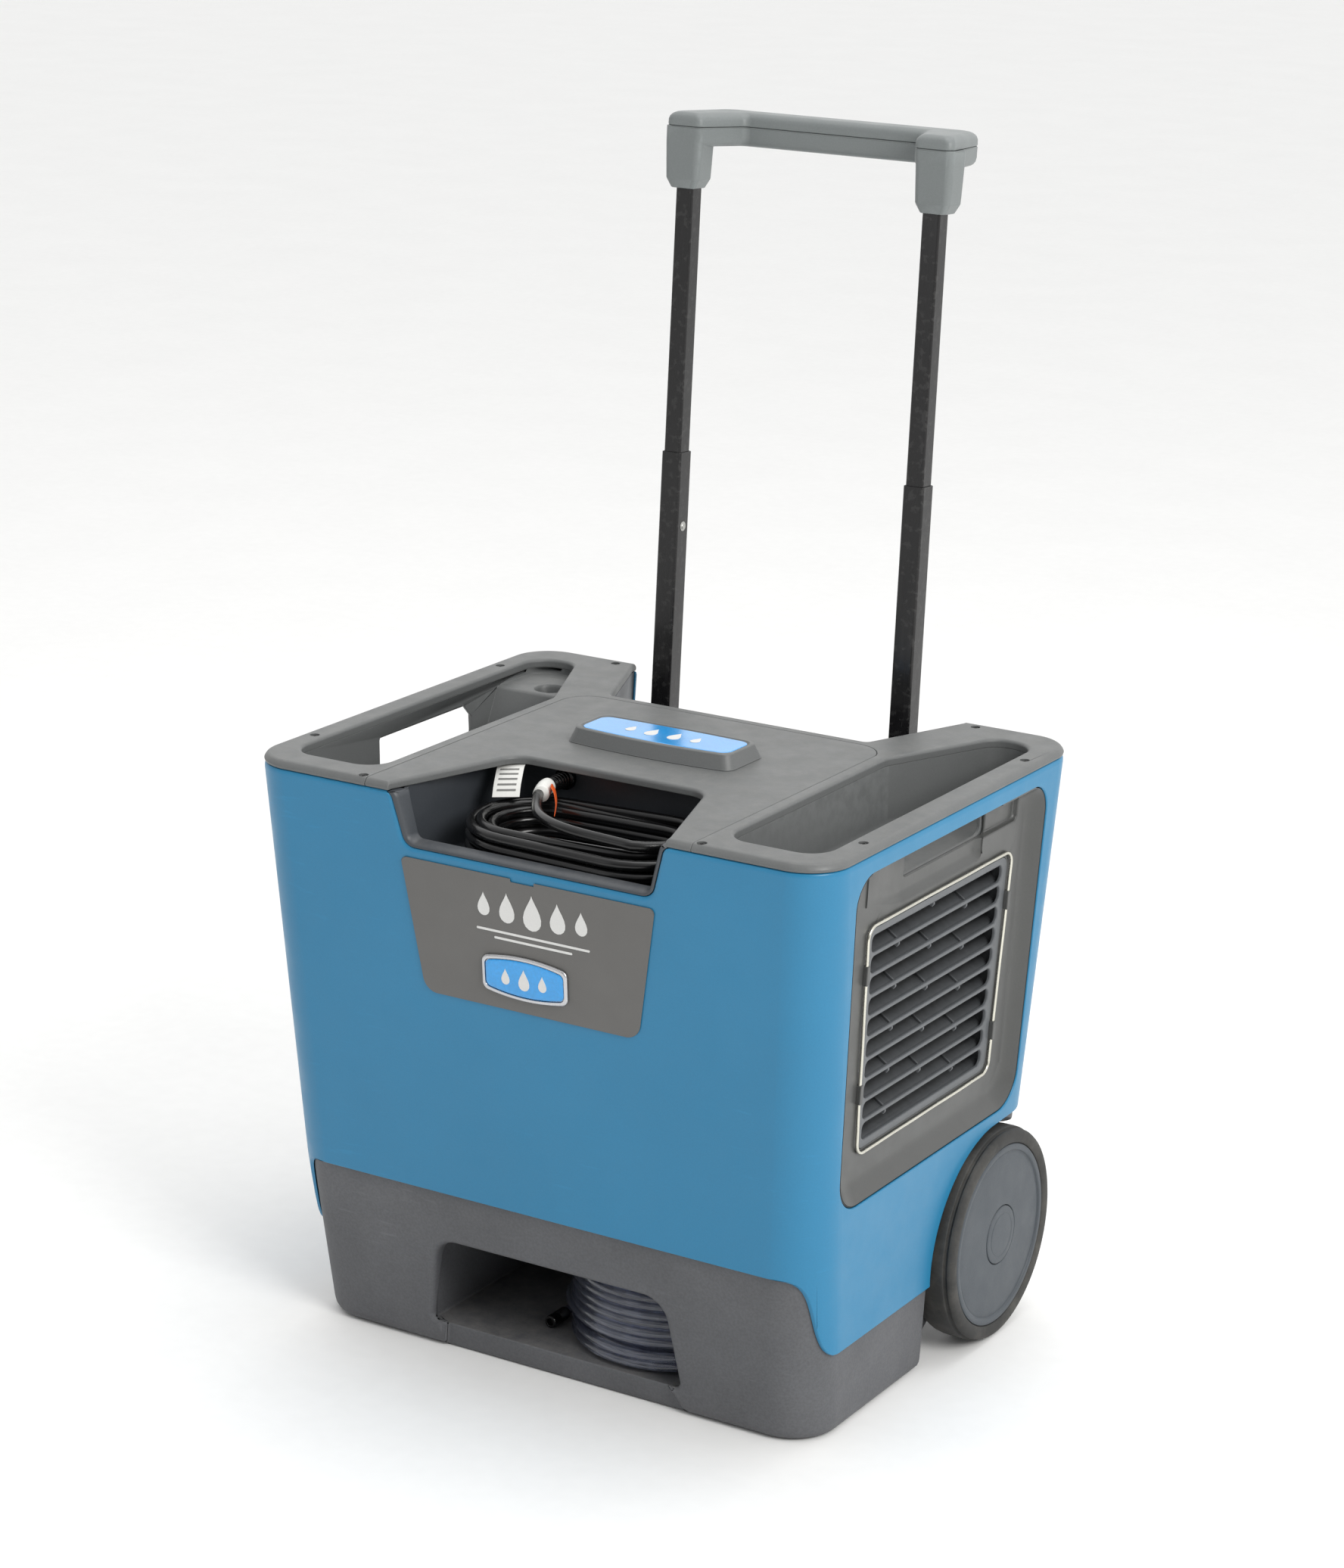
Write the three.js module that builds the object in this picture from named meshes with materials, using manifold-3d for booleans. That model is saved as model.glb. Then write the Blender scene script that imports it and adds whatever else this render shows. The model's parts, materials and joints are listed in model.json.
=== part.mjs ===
// Portable refrigerant dehumidifier for commercial drying work: a tapered cabinet on
// two rear wheels, with louvred sides, a cord bay in the top, a hose bay in the base
// and a two-stage telescopic tow handle. Millimetres, +Z up, front towards -Y.
// The machine is drawn about the middle of its cabinet. The exported group is moved
// along Y so that its origin is the bottom centre of the whole machine.
import * as THREE from "three";
import { mergeVertices } from "three/addons/utils/BufferGeometryUtils.js";
import Module from "manifold-3d";

const wasm = await Module();
wasm.setup();

// ---- Driving dimensions ----

const GAP = 0.35; // clearance between pieces that touch

// Cabinet: half sizes at the seam under the lid, and lean per millimetre of drop.
const HALF_WIDTH = 295;
const HALF_DEPTH = 235.3;
const SEAM_Z = 543;
const LID_TOP_Z = 551;
const SIDE_TAPER = 0.047;
const FRONT_TAPER = 0.085;
const REAR_TAPER = 0.069;
const SKIRT_Z = 165; // below this the front of the base slopes back more steeply
const SKIRT_TAPER = 0.15;
const CORNER_RADIUS = 41;
const CORNER_GROWTH = 0.0166;
const SHELL_WALL = 3;

// Base tub.
const TUB_INSET = 4;
const TUB_WALL = 4;
const TUB_TOP_Z = 210;
const TILT_START_Y = 45; // the underside rises behind this line, so the machine can tilt
const TILT_SLOPE = 0.554;

// Wheels.
const WHEEL_RADIUS = 101;
const WHEEL_Y = 131;
const WHEEL_OUTER_X = 291;
const WHEEL_WIDTH = 42;
const HUB_RADIUS = 86;
const AXLE_RADIUS = 8;
const WELL_RADIUS = 106;
const WELL_X = 243;

// Hose bay in the base.
const HOSE_RADIUS = 4.25;
const HOSE_COIL = { x: 68, y: -71, outer: 100, layers: 2, turns: 10 };
const HOSE_BAY = { x0: -135, x1: 182, y1: 32, z0: 24, z1: 116 };

// Cord bay in the top.
const CORD_RADIUS = 4.75;
const CORD_BAY = { frontHalf: 140, backHalf: 128, frontY: -222, backY: -68, floorZ: 470 };
const CORD_COIL = { x: 12, y: -150, halfLength: 117, halfWidth: 65, layers: 3, turns: 5 };
const PLUG = { x0: -66, x1: -24, halfWidth: 14, height: 18.6 };

// Side recesses with their louvres.
const RECESS_DEPTH = 12;
const LOUVRE = { z0: 268, z1: 462, bottomHalf: 116, topHalf: 126, slots: 10, depth: 14 };
const HAND_HOLD = { y0: -66, y1: 84, z0: 497, z1: 531 };

// Telescopic handle: its axis leans back, and is given at HANDLE_Z.
const HANDLE_X = 129;
const HANDLE_Y = 207;
const HANDLE_Z = 547;
const HANDLE_LEAN = Math.atan(0.05);
const LOWER_TUBE = { side: 21, wall: 1.1, from: -152, to: 223 };
const UPPER_TUBE = { side: 18, wall: 1.5, from: 153, to: 522 };
const GRIP = { bottom: 470, split: 527, top: 540, barFrom: 509 };
const HANDLE_BAY_FLOOR_Z = 474;

// Rear control panel.
const PANEL = { half: 88, z0: 296, z1: 404 };
const BUTTON = { radius: 7.5, z: 325, spacing: 36 };
const BUTTON_NAMES = ["power", "fan", "purge", "hours"];

const DECK_Z = TUB_TOP_Z + GAP;
const DECK_TOP_Z = DECK_Z + 3;
const FAN = { x: -190, z: 345, radius: 105, blades: 7 };
const ARC_STEPS = 4;

// ---- Solid modelling helpers ----

// A closed three.js geometry as a manifold-3d solid.
function solid(geometry) {
  const bare = geometry.index ? geometry.toNonIndexed() : geometry.clone();
  bare.deleteAttribute("normal");
  bare.deleteAttribute("uv");
  const merged = mergeVertices(bare, 1e-3);
  const kept = [];
  for (let i = 0; i < merged.index.count; i += 3) {
    const [a, b, c] = [0, 1, 2].map((k) => merged.index.getX(i + k));
    if (a !== b && b !== c && c !== a) kept.push(a, b, c);
  }
  return new wasm.Manifold(
    new wasm.Mesh({
      numProp: 3,
      vertProperties: merged.attributes.position.array,
      triVerts: new Uint32Array(kept),
    }),
  );
}

const cut = (body, ...tools) => tools.reduce((rest, tool) => rest.subtract(tool), body);
const join = (body, ...others) => others.reduce((sum, other) => sum.add(other), body);

// The manifold-3d solid as a three.js geometry.
function geometryOf(body) {
  const mesh = body.getMesh();
  const positions = new Float32Array((mesh.vertProperties.length / mesh.numProp) * 3);
  for (let i = 0; i < positions.length / 3; i++) {
    positions.set(mesh.vertProperties.subarray(i * mesh.numProp, i * mesh.numProp + 3), i * 3);
  }
  const geometry = new THREE.BufferGeometry();
  geometry.setAttribute("position", new THREE.BufferAttribute(positions, 3));
  geometry.setIndex(new THREE.BufferAttribute(mesh.triVerts, 1));
  geometry.computeVertexNormals();
  return geometry;
}

// A closed outline from corners [u, v, radius].
function outline(corners) {
  const shape = new THREE.Shape();
  corners.forEach(([u, v, radius = 0], i) => {
    const here = new THREE.Vector2(u, v);
    const before = new THREE.Vector2(...corners.at(i - 1).slice(0, 2));
    const after = new THREE.Vector2(...corners[(i + 1) % corners.length].slice(0, 2));
    const back = before.sub(here).normalize();
    const forward = after.sub(here).normalize();
    const half = Math.acos(THREE.MathUtils.clamp(back.dot(forward), -1, 1)) / 2;
    const start = here.clone().addScaledVector(back, radius / Math.tan(half));
    if (i === 0) shape.moveTo(start.x, start.y);
    else shape.lineTo(start.x, start.y);
    if (radius === 0) return;
    const middle = back.clone().add(forward).normalize();
    const centre = here.clone().addScaledVector(middle, radius / Math.sin(half));
    const end = here.clone().addScaledVector(forward, radius / Math.tan(half));
    const clockwise = back.cross(forward) > 0;
    const angle = (p) => Math.atan2(p.y - centre.y, p.x - centre.x);
    shape.absarc(centre.x, centre.y, radius, angle(start), angle(end), clockwise);
  });
  shape.closePath();
  return shape;
}

// An outline extruded along an axis: along x it is drawn in (y, z), along y in (x, z)
// and along z in (x, y).
function prism(axis, corners, lo, hi, curveSegments = ARC_STEPS) {
  const shape = corners instanceof THREE.Shape ? corners : outline(corners);
  const options = { depth: hi - lo, bevelEnabled: false, curveSegments };
  const geometry = new THREE.ExtrudeGeometry(shape, options);
  const [ex, ey, ez] = [0, 1, 2].map((i) => new THREE.Vector3().setComponent(i, 1));
  if (axis === "x") {
    geometry.applyMatrix4(new THREE.Matrix4().makeBasis(ey, ez, ex)).translate(lo, 0, 0);
  } else if (axis === "y") {
    geometry.applyMatrix4(new THREE.Matrix4().makeBasis(ex, ez, ey.negate()));
    geometry.translate(0, hi, 0);
  } else {
    geometry.translate(0, 0, lo);
  }
  return solid(geometry);
}

const rectangle = (u0, u1, v0, v1, r = 0) => [
  [u0, v0, r],
  [u1, v0, r],
  [u1, v1, r],
  [u0, v1, r],
];

// A box given by its limits along x, y and z.
function box(x0, x1, y0, y1, z0, z1) {
  const geometry = new THREE.BoxGeometry(x1 - x0, y1 - y0, z1 - z0);
  return solid(geometry.translate((x0 + x1) / 2, (y0 + y1) / 2, (z0 + z1) / 2));
}

// A cylinder along x, y or z, from lo to hi, round the point (u, v) of the other two axes.
function cylinder(axis, radius, lo, hi, u, v, steps = 32) {
  const geometry = new THREE.CylinderGeometry(radius, radius, hi - lo, steps);
  const middle = (lo + hi) / 2;
  if (axis === "x") geometry.rotateZ(-Math.PI / 2).translate(middle, u, v);
  else if (axis === "y") geometry.translate(u, middle, v);
  else geometry.rotateX(Math.PI / 2).translate(u, v, middle);
  return solid(geometry);
}

// A turned piece with its axis along x: profile points are [radius, x].
function turnedX(profile, y, z, steps) {
  const points = profile.map(([r, x]) => new THREE.Vector2(r, x));
  const geometry = new THREE.LatheGeometry(points, steps);
  return solid(geometry.rotateZ(-Math.PI / 2).translate(0, y, z));
}

// A round bar along a smooth curve through the points.
function bar(points, radius, steps) {
  const curve = new THREE.CatmullRomCurve3(points.map((p) => new THREE.Vector3(...p)));
  const section = new THREE.Shape().absarc(0, 0, radius, 0, 2 * Math.PI);
  const options = { steps, extrudePath: curve, curveSegments: 4 };
  return solid(new THREE.ExtrudeGeometry(section, options));
}

// A rounded rectangle as a ring of points at height z.
function roundedRing(x0, x1, y0, y1, radius, z) {
  const centres = [
    [x1 - radius, y1 - radius],
    [x0 + radius, y1 - radius],
    [x0 + radius, y0 + radius],
    [x1 - radius, y0 + radius],
  ];
  return centres.flatMap(([cx, cy], quarter) =>
    Array.from({ length: ARC_STEPS + 1 }, (_, i) => {
      const angle = ((quarter + i / ARC_STEPS) * Math.PI) / 2;
      return new THREE.Vector3(cx + radius * Math.cos(angle), cy + radius * Math.sin(angle), z);
    }),
  );
}

// A solid through rings that have the same number of points, from the lowest to the highest.
function loft(rings) {
  const count = rings[0].length;
  const index = [];
  for (let level = 0; level + 1 < rings.length; level++) {
    for (let i = 0; i < count; i++) {
      const a = level * count + i;
      const b = level * count + ((i + 1) % count);
      index.push(a, b, b + count, a, b + count, a + count);
    }
  }
  const cap = THREE.ShapeUtils.triangulateShape(rings[0].map((p) => new THREE.Vector2(p.x, p.y)), []);
  const top = (rings.length - 1) * count;
  for (const [a, b, c] of cap) index.push(a, c, b, top + a, top + b, top + c);
  const geometry = new THREE.BufferGeometry().setFromPoints(rings.flat());
  geometry.setIndex(index);
  return solid(geometry);
}

// ---- Cabinet form ----

const sideX = (z) => HALF_WIDTH - SIDE_TAPER * (SEAM_Z - z);
const rearY = (z) => HALF_DEPTH - REAR_TAPER * (SEAM_Z - z);

function frontY(z) {
  const upper = FRONT_TAPER * (SEAM_Z - Math.max(z, SKIRT_Z)) - HALF_DEPTH;
  return upper + SKIRT_TAPER * Math.max(0, SKIRT_Z - z);
}

// The cabinet's outline at a height, moved inwards by inset.
function cabinetRing(z, inset) {
  const level = Math.min(z, SEAM_Z);
  const radius = CORNER_RADIUS + CORNER_GROWTH * (SEAM_Z - level) - inset;
  const x = sideX(level) - inset;
  return roundedRing(-x, x, frontY(level) + inset, rearY(level) - inset, Math.max(radius, 2), z);
}

function cabinet(z0, z1, inset) {
  const levels = z0 < SKIRT_Z && z1 > SKIRT_Z ? [z0, SKIRT_Z, z1] : [z0, z1];
  return loft(levels.map((z) => cabinetRing(z, inset)));
}

// A skin of the cabinet form between two insets.
function skin(z0, z1, outer, inner) {
  return cut(cabinet(z0, z1, outer), cabinet(z0 - 5, z1 + (z1 < SEAM_Z ? 5 : 0.5), inner));
}

// ---- Scene graph ----

const machine = new THREE.Group();
const handle = new THREE.Group();
handle.position.set(0, HANDLE_Y, HANDLE_Z);
handle.rotation.x = -HANDLE_LEAN;
machine.add(handle);

const FINISH = {
  blue: [0x3a7aa3, 0.35, 0],
  lidGrey: [0x6b6c6e, 0.45, 0],
  baseGrey: [0x4e5054, 0.85, 0],
  darkGrey: [0x46484b, 0.6, 0],
  gripGrey: [0x7d8282, 0.4, 0],
  labelGrey: [0x6e6d6a, 0.7, 0],
  badgeBlue: [0x28a0dc, 0.25, 0],
  gloss: [0x141414, 0.2, 0.6],
  tyre: [0x3c3c3a, 0.85, 0],
  hub: [0x696e76, 0.5, 0],
  steel: [0xb8b8b4, 0.3, 1],
  copper: [0xb87333, 0.35, 1],
  fin: [0xc8ccd0, 0.4, 0.9],
  black: [0x101010, 0.5, 0],
  hose: [0xc9d2d2, 0.25, 0],
};

function add(name, body, finish, parent = machine) {
  const [color, roughness, metalness] = FINISH[finish];
  const material = new THREE.MeshStandardMaterial({ color, roughness, metalness });
  const mesh = new THREE.Mesh(geometryOf(body), material);
  mesh.name = name;
  parent.add(mesh);
}

const SIDES = [
  ["left", -1],
  ["right", 1],
];

// A solid drawn on the +X side, mirrored for the other side.
const onSide = (body, sign) => (sign > 0 ? body : body.mirror([1, 0, 0]));

// Solids that reach through one wall of the cabinet, from outlines drawn on that wall.
const throughRight = (corners) => prism("x", corners, 200, 340);
const throughFront = (corners) => prism("y", corners, -300, -150);
const throughRear = (corners) => prism("y", corners, 150, 300);

// ---- Outlines shared by pieces that meet ----

// The wide window in each side, drawn in (y, z), moved inwards by inset.
const recessOutline = (inset) => [
  [-167 + inset * 0.8, 219 + inset, 34],
  [167 - inset * 0.8, 219 + inset, 34],
  [179 - inset, 527 - inset, 28],
  [-179 + inset, 527 - inset, 28],
];

// The louvre field, drawn in (y, z), moved outwards by grow.
const louvreOutline = (grow) => [
  [-LOUVRE.bottomHalf - grow, LOUVRE.z0 - grow, 9],
  [LOUVRE.bottomHalf + grow, LOUVRE.z0 - grow, 9],
  [LOUVRE.topHalf + grow, LOUVRE.z1 + grow, 9],
  [-LOUVRE.topHalf - grow, LOUVRE.z1 + grow, 9],
];

const handHoldOutline = (grow) =>
  rectangle(
    HAND_HOLD.y0 - grow,
    HAND_HOLD.y1 + grow,
    HAND_HOLD.z0 - grow,
    HAND_HOLD.z1 + grow,
    8,
  );

// The notch in the top of the front wall, drawn in (x, z), moved inwards by inset.
const notchOutline = (inset) => [
  [-126 + inset, 494.5 + inset, 13 - inset],
  [126 - inset, 494.5 + inset, 13 - inset],
  [144 - inset, 560],
  [-144 + inset, 560],
];

// The pocket in each side of the lid, drawn in (x, y), moved inwards by inset.
const pocketOutline = (inset) => [
  [175 + inset, -205 + inset, 26],
  [273 - inset, -205 + inset, 26],
  [273 - inset, 202 - inset, 26],
  [226 + inset * 0.6, 202 - inset, 20],
  [175 + inset, 84 - inset * 0.2, 20],
];

// The bay at the back that the handle comes out of, drawn in (x, y).
const handleBayOutline = (grow) => [
  [-137 - grow, 120 - grow, 8],
  [137 + grow, 120 - grow, 8],
  [180 + grow, 228],
  [180 + grow, 300],
  [-180 - grow, 300],
  [-180 - grow, 228],
];

const coverOutline = (grow) => [
  [-166 - grow, -300],
  [166 + grow, -300],
  [166 + grow, 110 + grow, 30],
  [-166 - grow, 110 + grow, 30],
];

// ---- Base tub ----

function wheelWell(grow) {
  const radius = WELL_RADIUS + grow;
  const round = cylinder("x", radius, WELL_X - grow, 330, WHEEL_Y, WHEEL_RADIUS, 48);
  const low = box(WELL_X - grow, 330, WHEEL_Y - radius, 330, -10, WHEEL_RADIUS);
  return join(round, low);
}

// The wedge under the back of the base, which leaves room to tilt the machine.
function tiltClearance(grow) {
  const rise = (y) => (y - TILT_START_Y) * TILT_SLOPE + grow;
  const [y0, y1] = [TILT_START_Y - 30, 320];
  const wedge = [
    [y0, -20],
    [y1, -20],
    [y1, rise(y1)],
    [y0, rise(y0)],
  ];
  return prism("x", wedge, -330, 330);
}

// The hose bay behind its mouth; grown, it reaches through the front wall.
function hoseBay(grow) {
  const { x0, x1, y1, z0, z1 } = HOSE_BAY;
  const y0 = grow > 0 ? -260 : frontY(z0) + TUB_INSET + TUB_WALL;
  return box(x0 - grow, x1 + grow, y0, y1 + grow, z0 - grow, z1 + grow);
}

function baseTub() {
  const foot = [
    [0, 11],
    [2.5, 6.5],
    [8, TUB_INSET],
    [SKIRT_Z, TUB_INSET],
    [TUB_TOP_Z, TUB_INSET],
  ];
  const outer = loft(foot.map(([z, inset]) => cabinetRing(z, inset)));
  const wells = SIDES.map(([, sign]) => onSide(wheelWell(0), sign));
  const grownWells = SIDES.map(([, sign]) => onSide(wheelWell(TUB_WALL), sign));
  const cavity = cut(
    cabinet(TUB_WALL, TUB_TOP_Z + 10, TUB_INSET + TUB_WALL),
    ...grownWells,
    tiltClearance(TUB_WALL),
    hoseBay(TUB_WALL),
  );
  const mouth = [
    [-133, 26, 20],
    [133, 26, 20],
    [120, 112, 24],
    [-120, 112, 24],
  ];
  return cut(
    outer,
    ...wells,
    tiltClearance(0),
    cavity,
    hoseBay(0),
    prism("y", mouth, -250, -150),
    cylinder("x", AXLE_RADIUS + 0.6, -260, 260, WHEEL_Y, WHEEL_RADIUS),
  );
}

add("base_tub", baseTub(), "baseGrey");

// ---- Housing shell ----

// Everything below the lower edge of the shell, drawn in (y, z): high across the
// front, down round the front corners, level along the sides, over the wheels.
function belowShell() {
  const arch = { y: WHEEL_Y, z: 99, radius: 108, from: 84 };
  const start = Math.PI + Math.asin((arch.z - arch.from) / arch.radius);
  const shape = new THREE.Shape();
  shape.moveTo(-300, SKIRT_Z);
  shape.lineTo(-203, SKIRT_Z);
  shape.bezierCurveTo(-176, SKIRT_Z, -180, arch.from, -148, arch.from);
  shape.absarc(arch.y, arch.z, arch.radius, start, Math.PI / 2, true);
  shape.lineTo(300, 212);
  shape.lineTo(300, -20);
  shape.lineTo(-300, -20);
  shape.closePath();
  return prism("x", shape, -350, 350, 14);
}

function housingShell() {
  const rearOpening = rectangle(-179, 179, HANDLE_BAY_FLOOR_Z - 3 - GAP, 560);
  const half = PANEL.half + GAP;
  const panelWindow = rectangle(-half, half, PANEL.z0 - GAP, PANEL.z1 + GAP, 10);
  const recesses = SIDES.map(([, sign]) => onSide(throughRight(recessOutline(0)), sign));
  return cut(
    skin(75, SEAM_Z, 0, SHELL_WALL),
    belowShell(),
    throughFront(notchOutline(0)),
    ...recesses,
    throughRear(rearOpening),
    throughRear(panelWindow),
  );
}

add("housing_shell", housingShell(), "blue");

// ---- Lid, cover, bays and pockets ----

const lidForm = () =>
  loft([
    cabinetRing(SEAM_Z + GAP, 0),
    cabinetRing(SEAM_Z + 4, 0.4),
    cabinetRing(LID_TOP_Z - 1.6, 2),
    cabinetRing(LID_TOP_Z, 5),
  ]);

const lidBand = (corners) => prism("z", corners, SEAM_Z - 5, LID_TOP_Z + 5);

add(
  "top_lid",
  cut(
    lidForm(),
    lidBand(coverOutline(GAP)),
    lidBand(pocketOutline(0)),
    lidBand(pocketOutline(0)).mirror([1, 0, 0]),
    lidBand(handleBayOutline(0)),
  ),
  "lidGrey",
);

const bayMouth = [
  [-141, -300],
  [141, -300],
  [141, -229],
  [98, -97, 22],
  [-98, -97, 22],
  [-141, -229],
];
add("top_cover", cut(lidForm().intersect(lidBand(coverOutline(0))), lidBand(bayMouth)), "lidGrey");

function cordBayTray() {
  const { frontHalf, backHalf, frontY: y0, backY: y1, floorZ } = CORD_BAY;
  const plan = (inset) => [
    [-frontHalf + inset, y0 + inset, 12],
    [frontHalf - inset, y0 + inset, 12],
    [backHalf - inset, y1 - inset, 25],
    [-backHalf + inset, y1 - inset, 25],
  ];
  const wall = 2.5;
  const top = SEAM_Z - GAP;
  const tray = cut(
    prism("z", plan(0), floorZ - wall, top),
    prism("z", plan(wall), floorZ, top + 5),
    prism("y", notchOutline(5), -300, y0 + 12),
  );
  const lip = cut(prism("y", notchOutline(GAP), -300, y0 + 1), prism("y", notchOutline(5), -320, y0 + 2));
  return join(tray, lip.intersect(cabinet(470, top, -0.4)));
}

add("cord_bay_tray", cordBayTray(), "darkGrey");

for (const [side, sign] of SIDES) {
  const wall = 2.5;
  const floorZ = 484;
  const tray = cut(
    prism("z", pocketOutline(GAP), floorZ, LID_TOP_Z - 0.5),
    prism("z", pocketOutline(GAP + wall), floorZ + wall, LID_TOP_Z + 5),
    prism("x", handHoldOutline(0), 262, 290),
  );
  add("pocket_tray_" + side, onSide(tray, sign), "lidGrey");
}

function handleBayLiner() {
  const wall = 2.5;
  const floor = HANDLE_BAY_FLOOR_Z;
  const within = cabinet(floor - 10, SEAM_Z - GAP, SHELL_WALL + GAP);
  const liner = cut(
    prism("z", handleBayOutline(wall), floor - 3, SEAM_Z - GAP).intersect(within),
    prism("z", handleBayOutline(0), floor, SEAM_Z + 5),
  );
  const half = LOWER_TUBE.side / 2 + 1.4;
  const y = HANDLE_Y - (HANDLE_Z - floor) * Math.tan(HANDLE_LEAN);
  const hole = rectangle(HANDLE_X - half, HANDLE_X + half, y - half, y + half);
  const holes = SIDES.map(([, sign]) => onSide(prism("z", hole, floor - 9, floor + 9), sign));
  return cut(liner, ...holes);
}

add("handle_bay_liner", handleBayLiner(), "darkGrey");

add(
  "badge_plinth",
  loft([
    roundedRing(-86, 86, -42, 26, 14, LID_TOP_Z + GAP),
    roundedRing(-80, 80, -34, 22, 12, LID_TOP_Z + 12),
    roundedRing(-77, 77, -31, 20, 10, LID_TOP_Z + 14),
  ]),
  "lidGrey",
);

// ---- Front label and badge, lying on the sloping front ----

const front = new THREE.Group();
const LABEL_MIDDLE_Z = 424;
front.position.set(0, frontY(LABEL_MIDDLE_Z), LABEL_MIDDLE_Z);
front.rotation.x = Math.atan(FRONT_TAPER);
machine.add(front);
const labelOutline = [
  [-110, -62, 15],
  [110, -62, 15],
  [130, 62, 5],
  [-130, 62, 5],
];
add("label_plate", prism("y", labelOutline, -GAP - 1.2, -GAP), "labelGrey", front);
const badge = prism("y", rectangle(-47, 41, -48, -10, 17), -2 * GAP - 4.2, -2 * GAP - 1.2);
add("front_badge", badge, "badgeBlue", front);

// ---- Side recesses: bezel, louvres, wire frame ----

function sideBezel() {
  const band = (outer, inner) => skin(200, 540, outer, inner);
  const window = throughRight(recessOutline(0.5));
  const wall = cut(window, prism("x", recessOutline(3.5), 190, 350));
  const rim = wall.intersect(band(0.8, RECESS_DEPTH + 3));
  const floor = window.intersect(band(RECESS_DEPTH, RECESS_DEPTH + 3));
  return cut(join(rim, floor), throughRight(louvreOutline(0)), throughRight(handHoldOutline(0)));
}

// Slanted slats in a rounded frame.
function louvreGrille() {
  const behind = RECESS_DEPTH + 3 + GAP;
  const rail = cut(prism("x", louvreOutline(6), 200, 300), prism("x", louvreOutline(-1), 190, 310));
  const frame = rail.intersect(skin(200, 540, behind, behind + LOUVRE.depth));
  const pitch = (LOUVRE.z1 - LOUVRE.z0) / LOUVRE.slots;
  const pieces = [frame];
  for (let i = 1; i < LOUVRE.slots; i++) {
    const z = LOUVRE.z0 + i * pitch;
    const x = sideX(z) - behind;
    const half = LOUVRE.bottomHalf + ((LOUVRE.topHalf - LOUVRE.bottomHalf) * i) / LOUVRE.slots + 3;
    const slat = new THREE.BoxGeometry(2.4, 2 * half, 17.5);
    slat.rotateY(THREE.MathUtils.degToRad(-38)).translate(x - 7, 0, z);
    pieces.push(solid(slat));
  }
  return join(...pieces);
}

function wireFrame() {
  const loop = (grow) => [
    [-124 - grow, 260 - grow, 12 + grow],
    [124 + grow, 260 - grow, 12 + grow],
    [134 + grow, 471 + grow, 12 + grow],
    [-134 - grow, 471 + grow, 12 + grow],
  ];
  const ring = cut(throughRight(loop(2)), prism("x", loop(-2), 190, 350));
  return ring.intersect(skin(200, 540, RECESS_DEPTH - 4.5, RECESS_DEPTH - 0.5));
}

for (const [side, sign] of SIDES) {
  add("side_bezel_" + side, onSide(sideBezel(), sign), "darkGrey");
  add("louvre_grille_" + side, onSide(louvreGrille(), sign), "darkGrey");
  add("wire_frame_" + side, onSide(wireFrame(), sign), "steel");
}

// ---- Wheels and axle ----

const innerFace = WHEEL_OUTER_X - WHEEL_WIDTH;

function tyre() {
  const r = WHEEL_RADIUS;
  const seat = HUB_RADIUS + GAP;
  const profile = [
    [seat, innerFace],
    [r - 7, innerFace],
    [r - 3.5, innerFace + 3],
    [r - 1, innerFace + 12],
    [r, innerFace + 31],
    [r - 3, innerFace + 32],
    [r - 3, innerFace + 34],
    [r - 2, innerFace + 39.5],
    [r - 6, WHEEL_OUTER_X],
    [seat, WHEEL_OUTER_X],
    [seat, innerFace],
  ];
  return turnedX(profile, WHEEL_Y, WHEEL_RADIUS, 32);
}

function wheelHub() {
  const bore = AXLE_RADIUS + 0.5;
  const profile = [
    [bore, innerFace + 1],
    [HUB_RADIUS, innerFace + 1],
    [HUB_RADIUS, WHEEL_OUTER_X - 2],
    [HUB_RADIUS - 7, WHEEL_OUTER_X - 1],
    [HUB_RADIUS - 9, WHEEL_OUTER_X - 3],
    [40, WHEEL_OUTER_X - 1],
    [bore, WHEEL_OUTER_X - 1],
    [bore, innerFace + 1],
  ];
  return turnedX(profile, WHEEL_Y, WHEEL_RADIUS, 32);
}

// A shallow dome over the end of the axle, hollow behind.
function hubCap() {
  const x = WHEEL_OUTER_X - 1 + GAP;
  const hollow = AXLE_RADIUS + 2;
  const profile = [
    [hollow, x],
    [28, x],
    [27, x + 3],
    [22, x + 5.5],
    [0, x + 6.5],
    [0, x + 4],
    [hollow, x + 4],
    [hollow, x],
  ];
  return turnedX(profile, WHEEL_Y, WHEEL_RADIUS, 24);
}

for (const [side, sign] of SIDES) {
  add("tyre_" + side, onSide(tyre(), sign), "tyre");
  add("wheel_hub_" + side, onSide(wheelHub(), sign), "hub");
  add("hub_cap_" + side, onSide(hubCap(), sign), "hub");
}
const axleEnd = WHEEL_OUTER_X + 1;
add("wheel_axle", cylinder("x", AXLE_RADIUS, -axleEnd, axleEnd, WHEEL_Y, WHEEL_RADIUS), "steel");

// ---- Handle, drawn along its own axis ----

function squareTube(x, outside, inside, from, to) {
  const [a, b] = [outside / 2, inside / 2];
  return cut(box(x - a, x + a, -a, a, from, to), box(x - b, x + b, -b, b, from - 5, to + 5));
}

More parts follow.
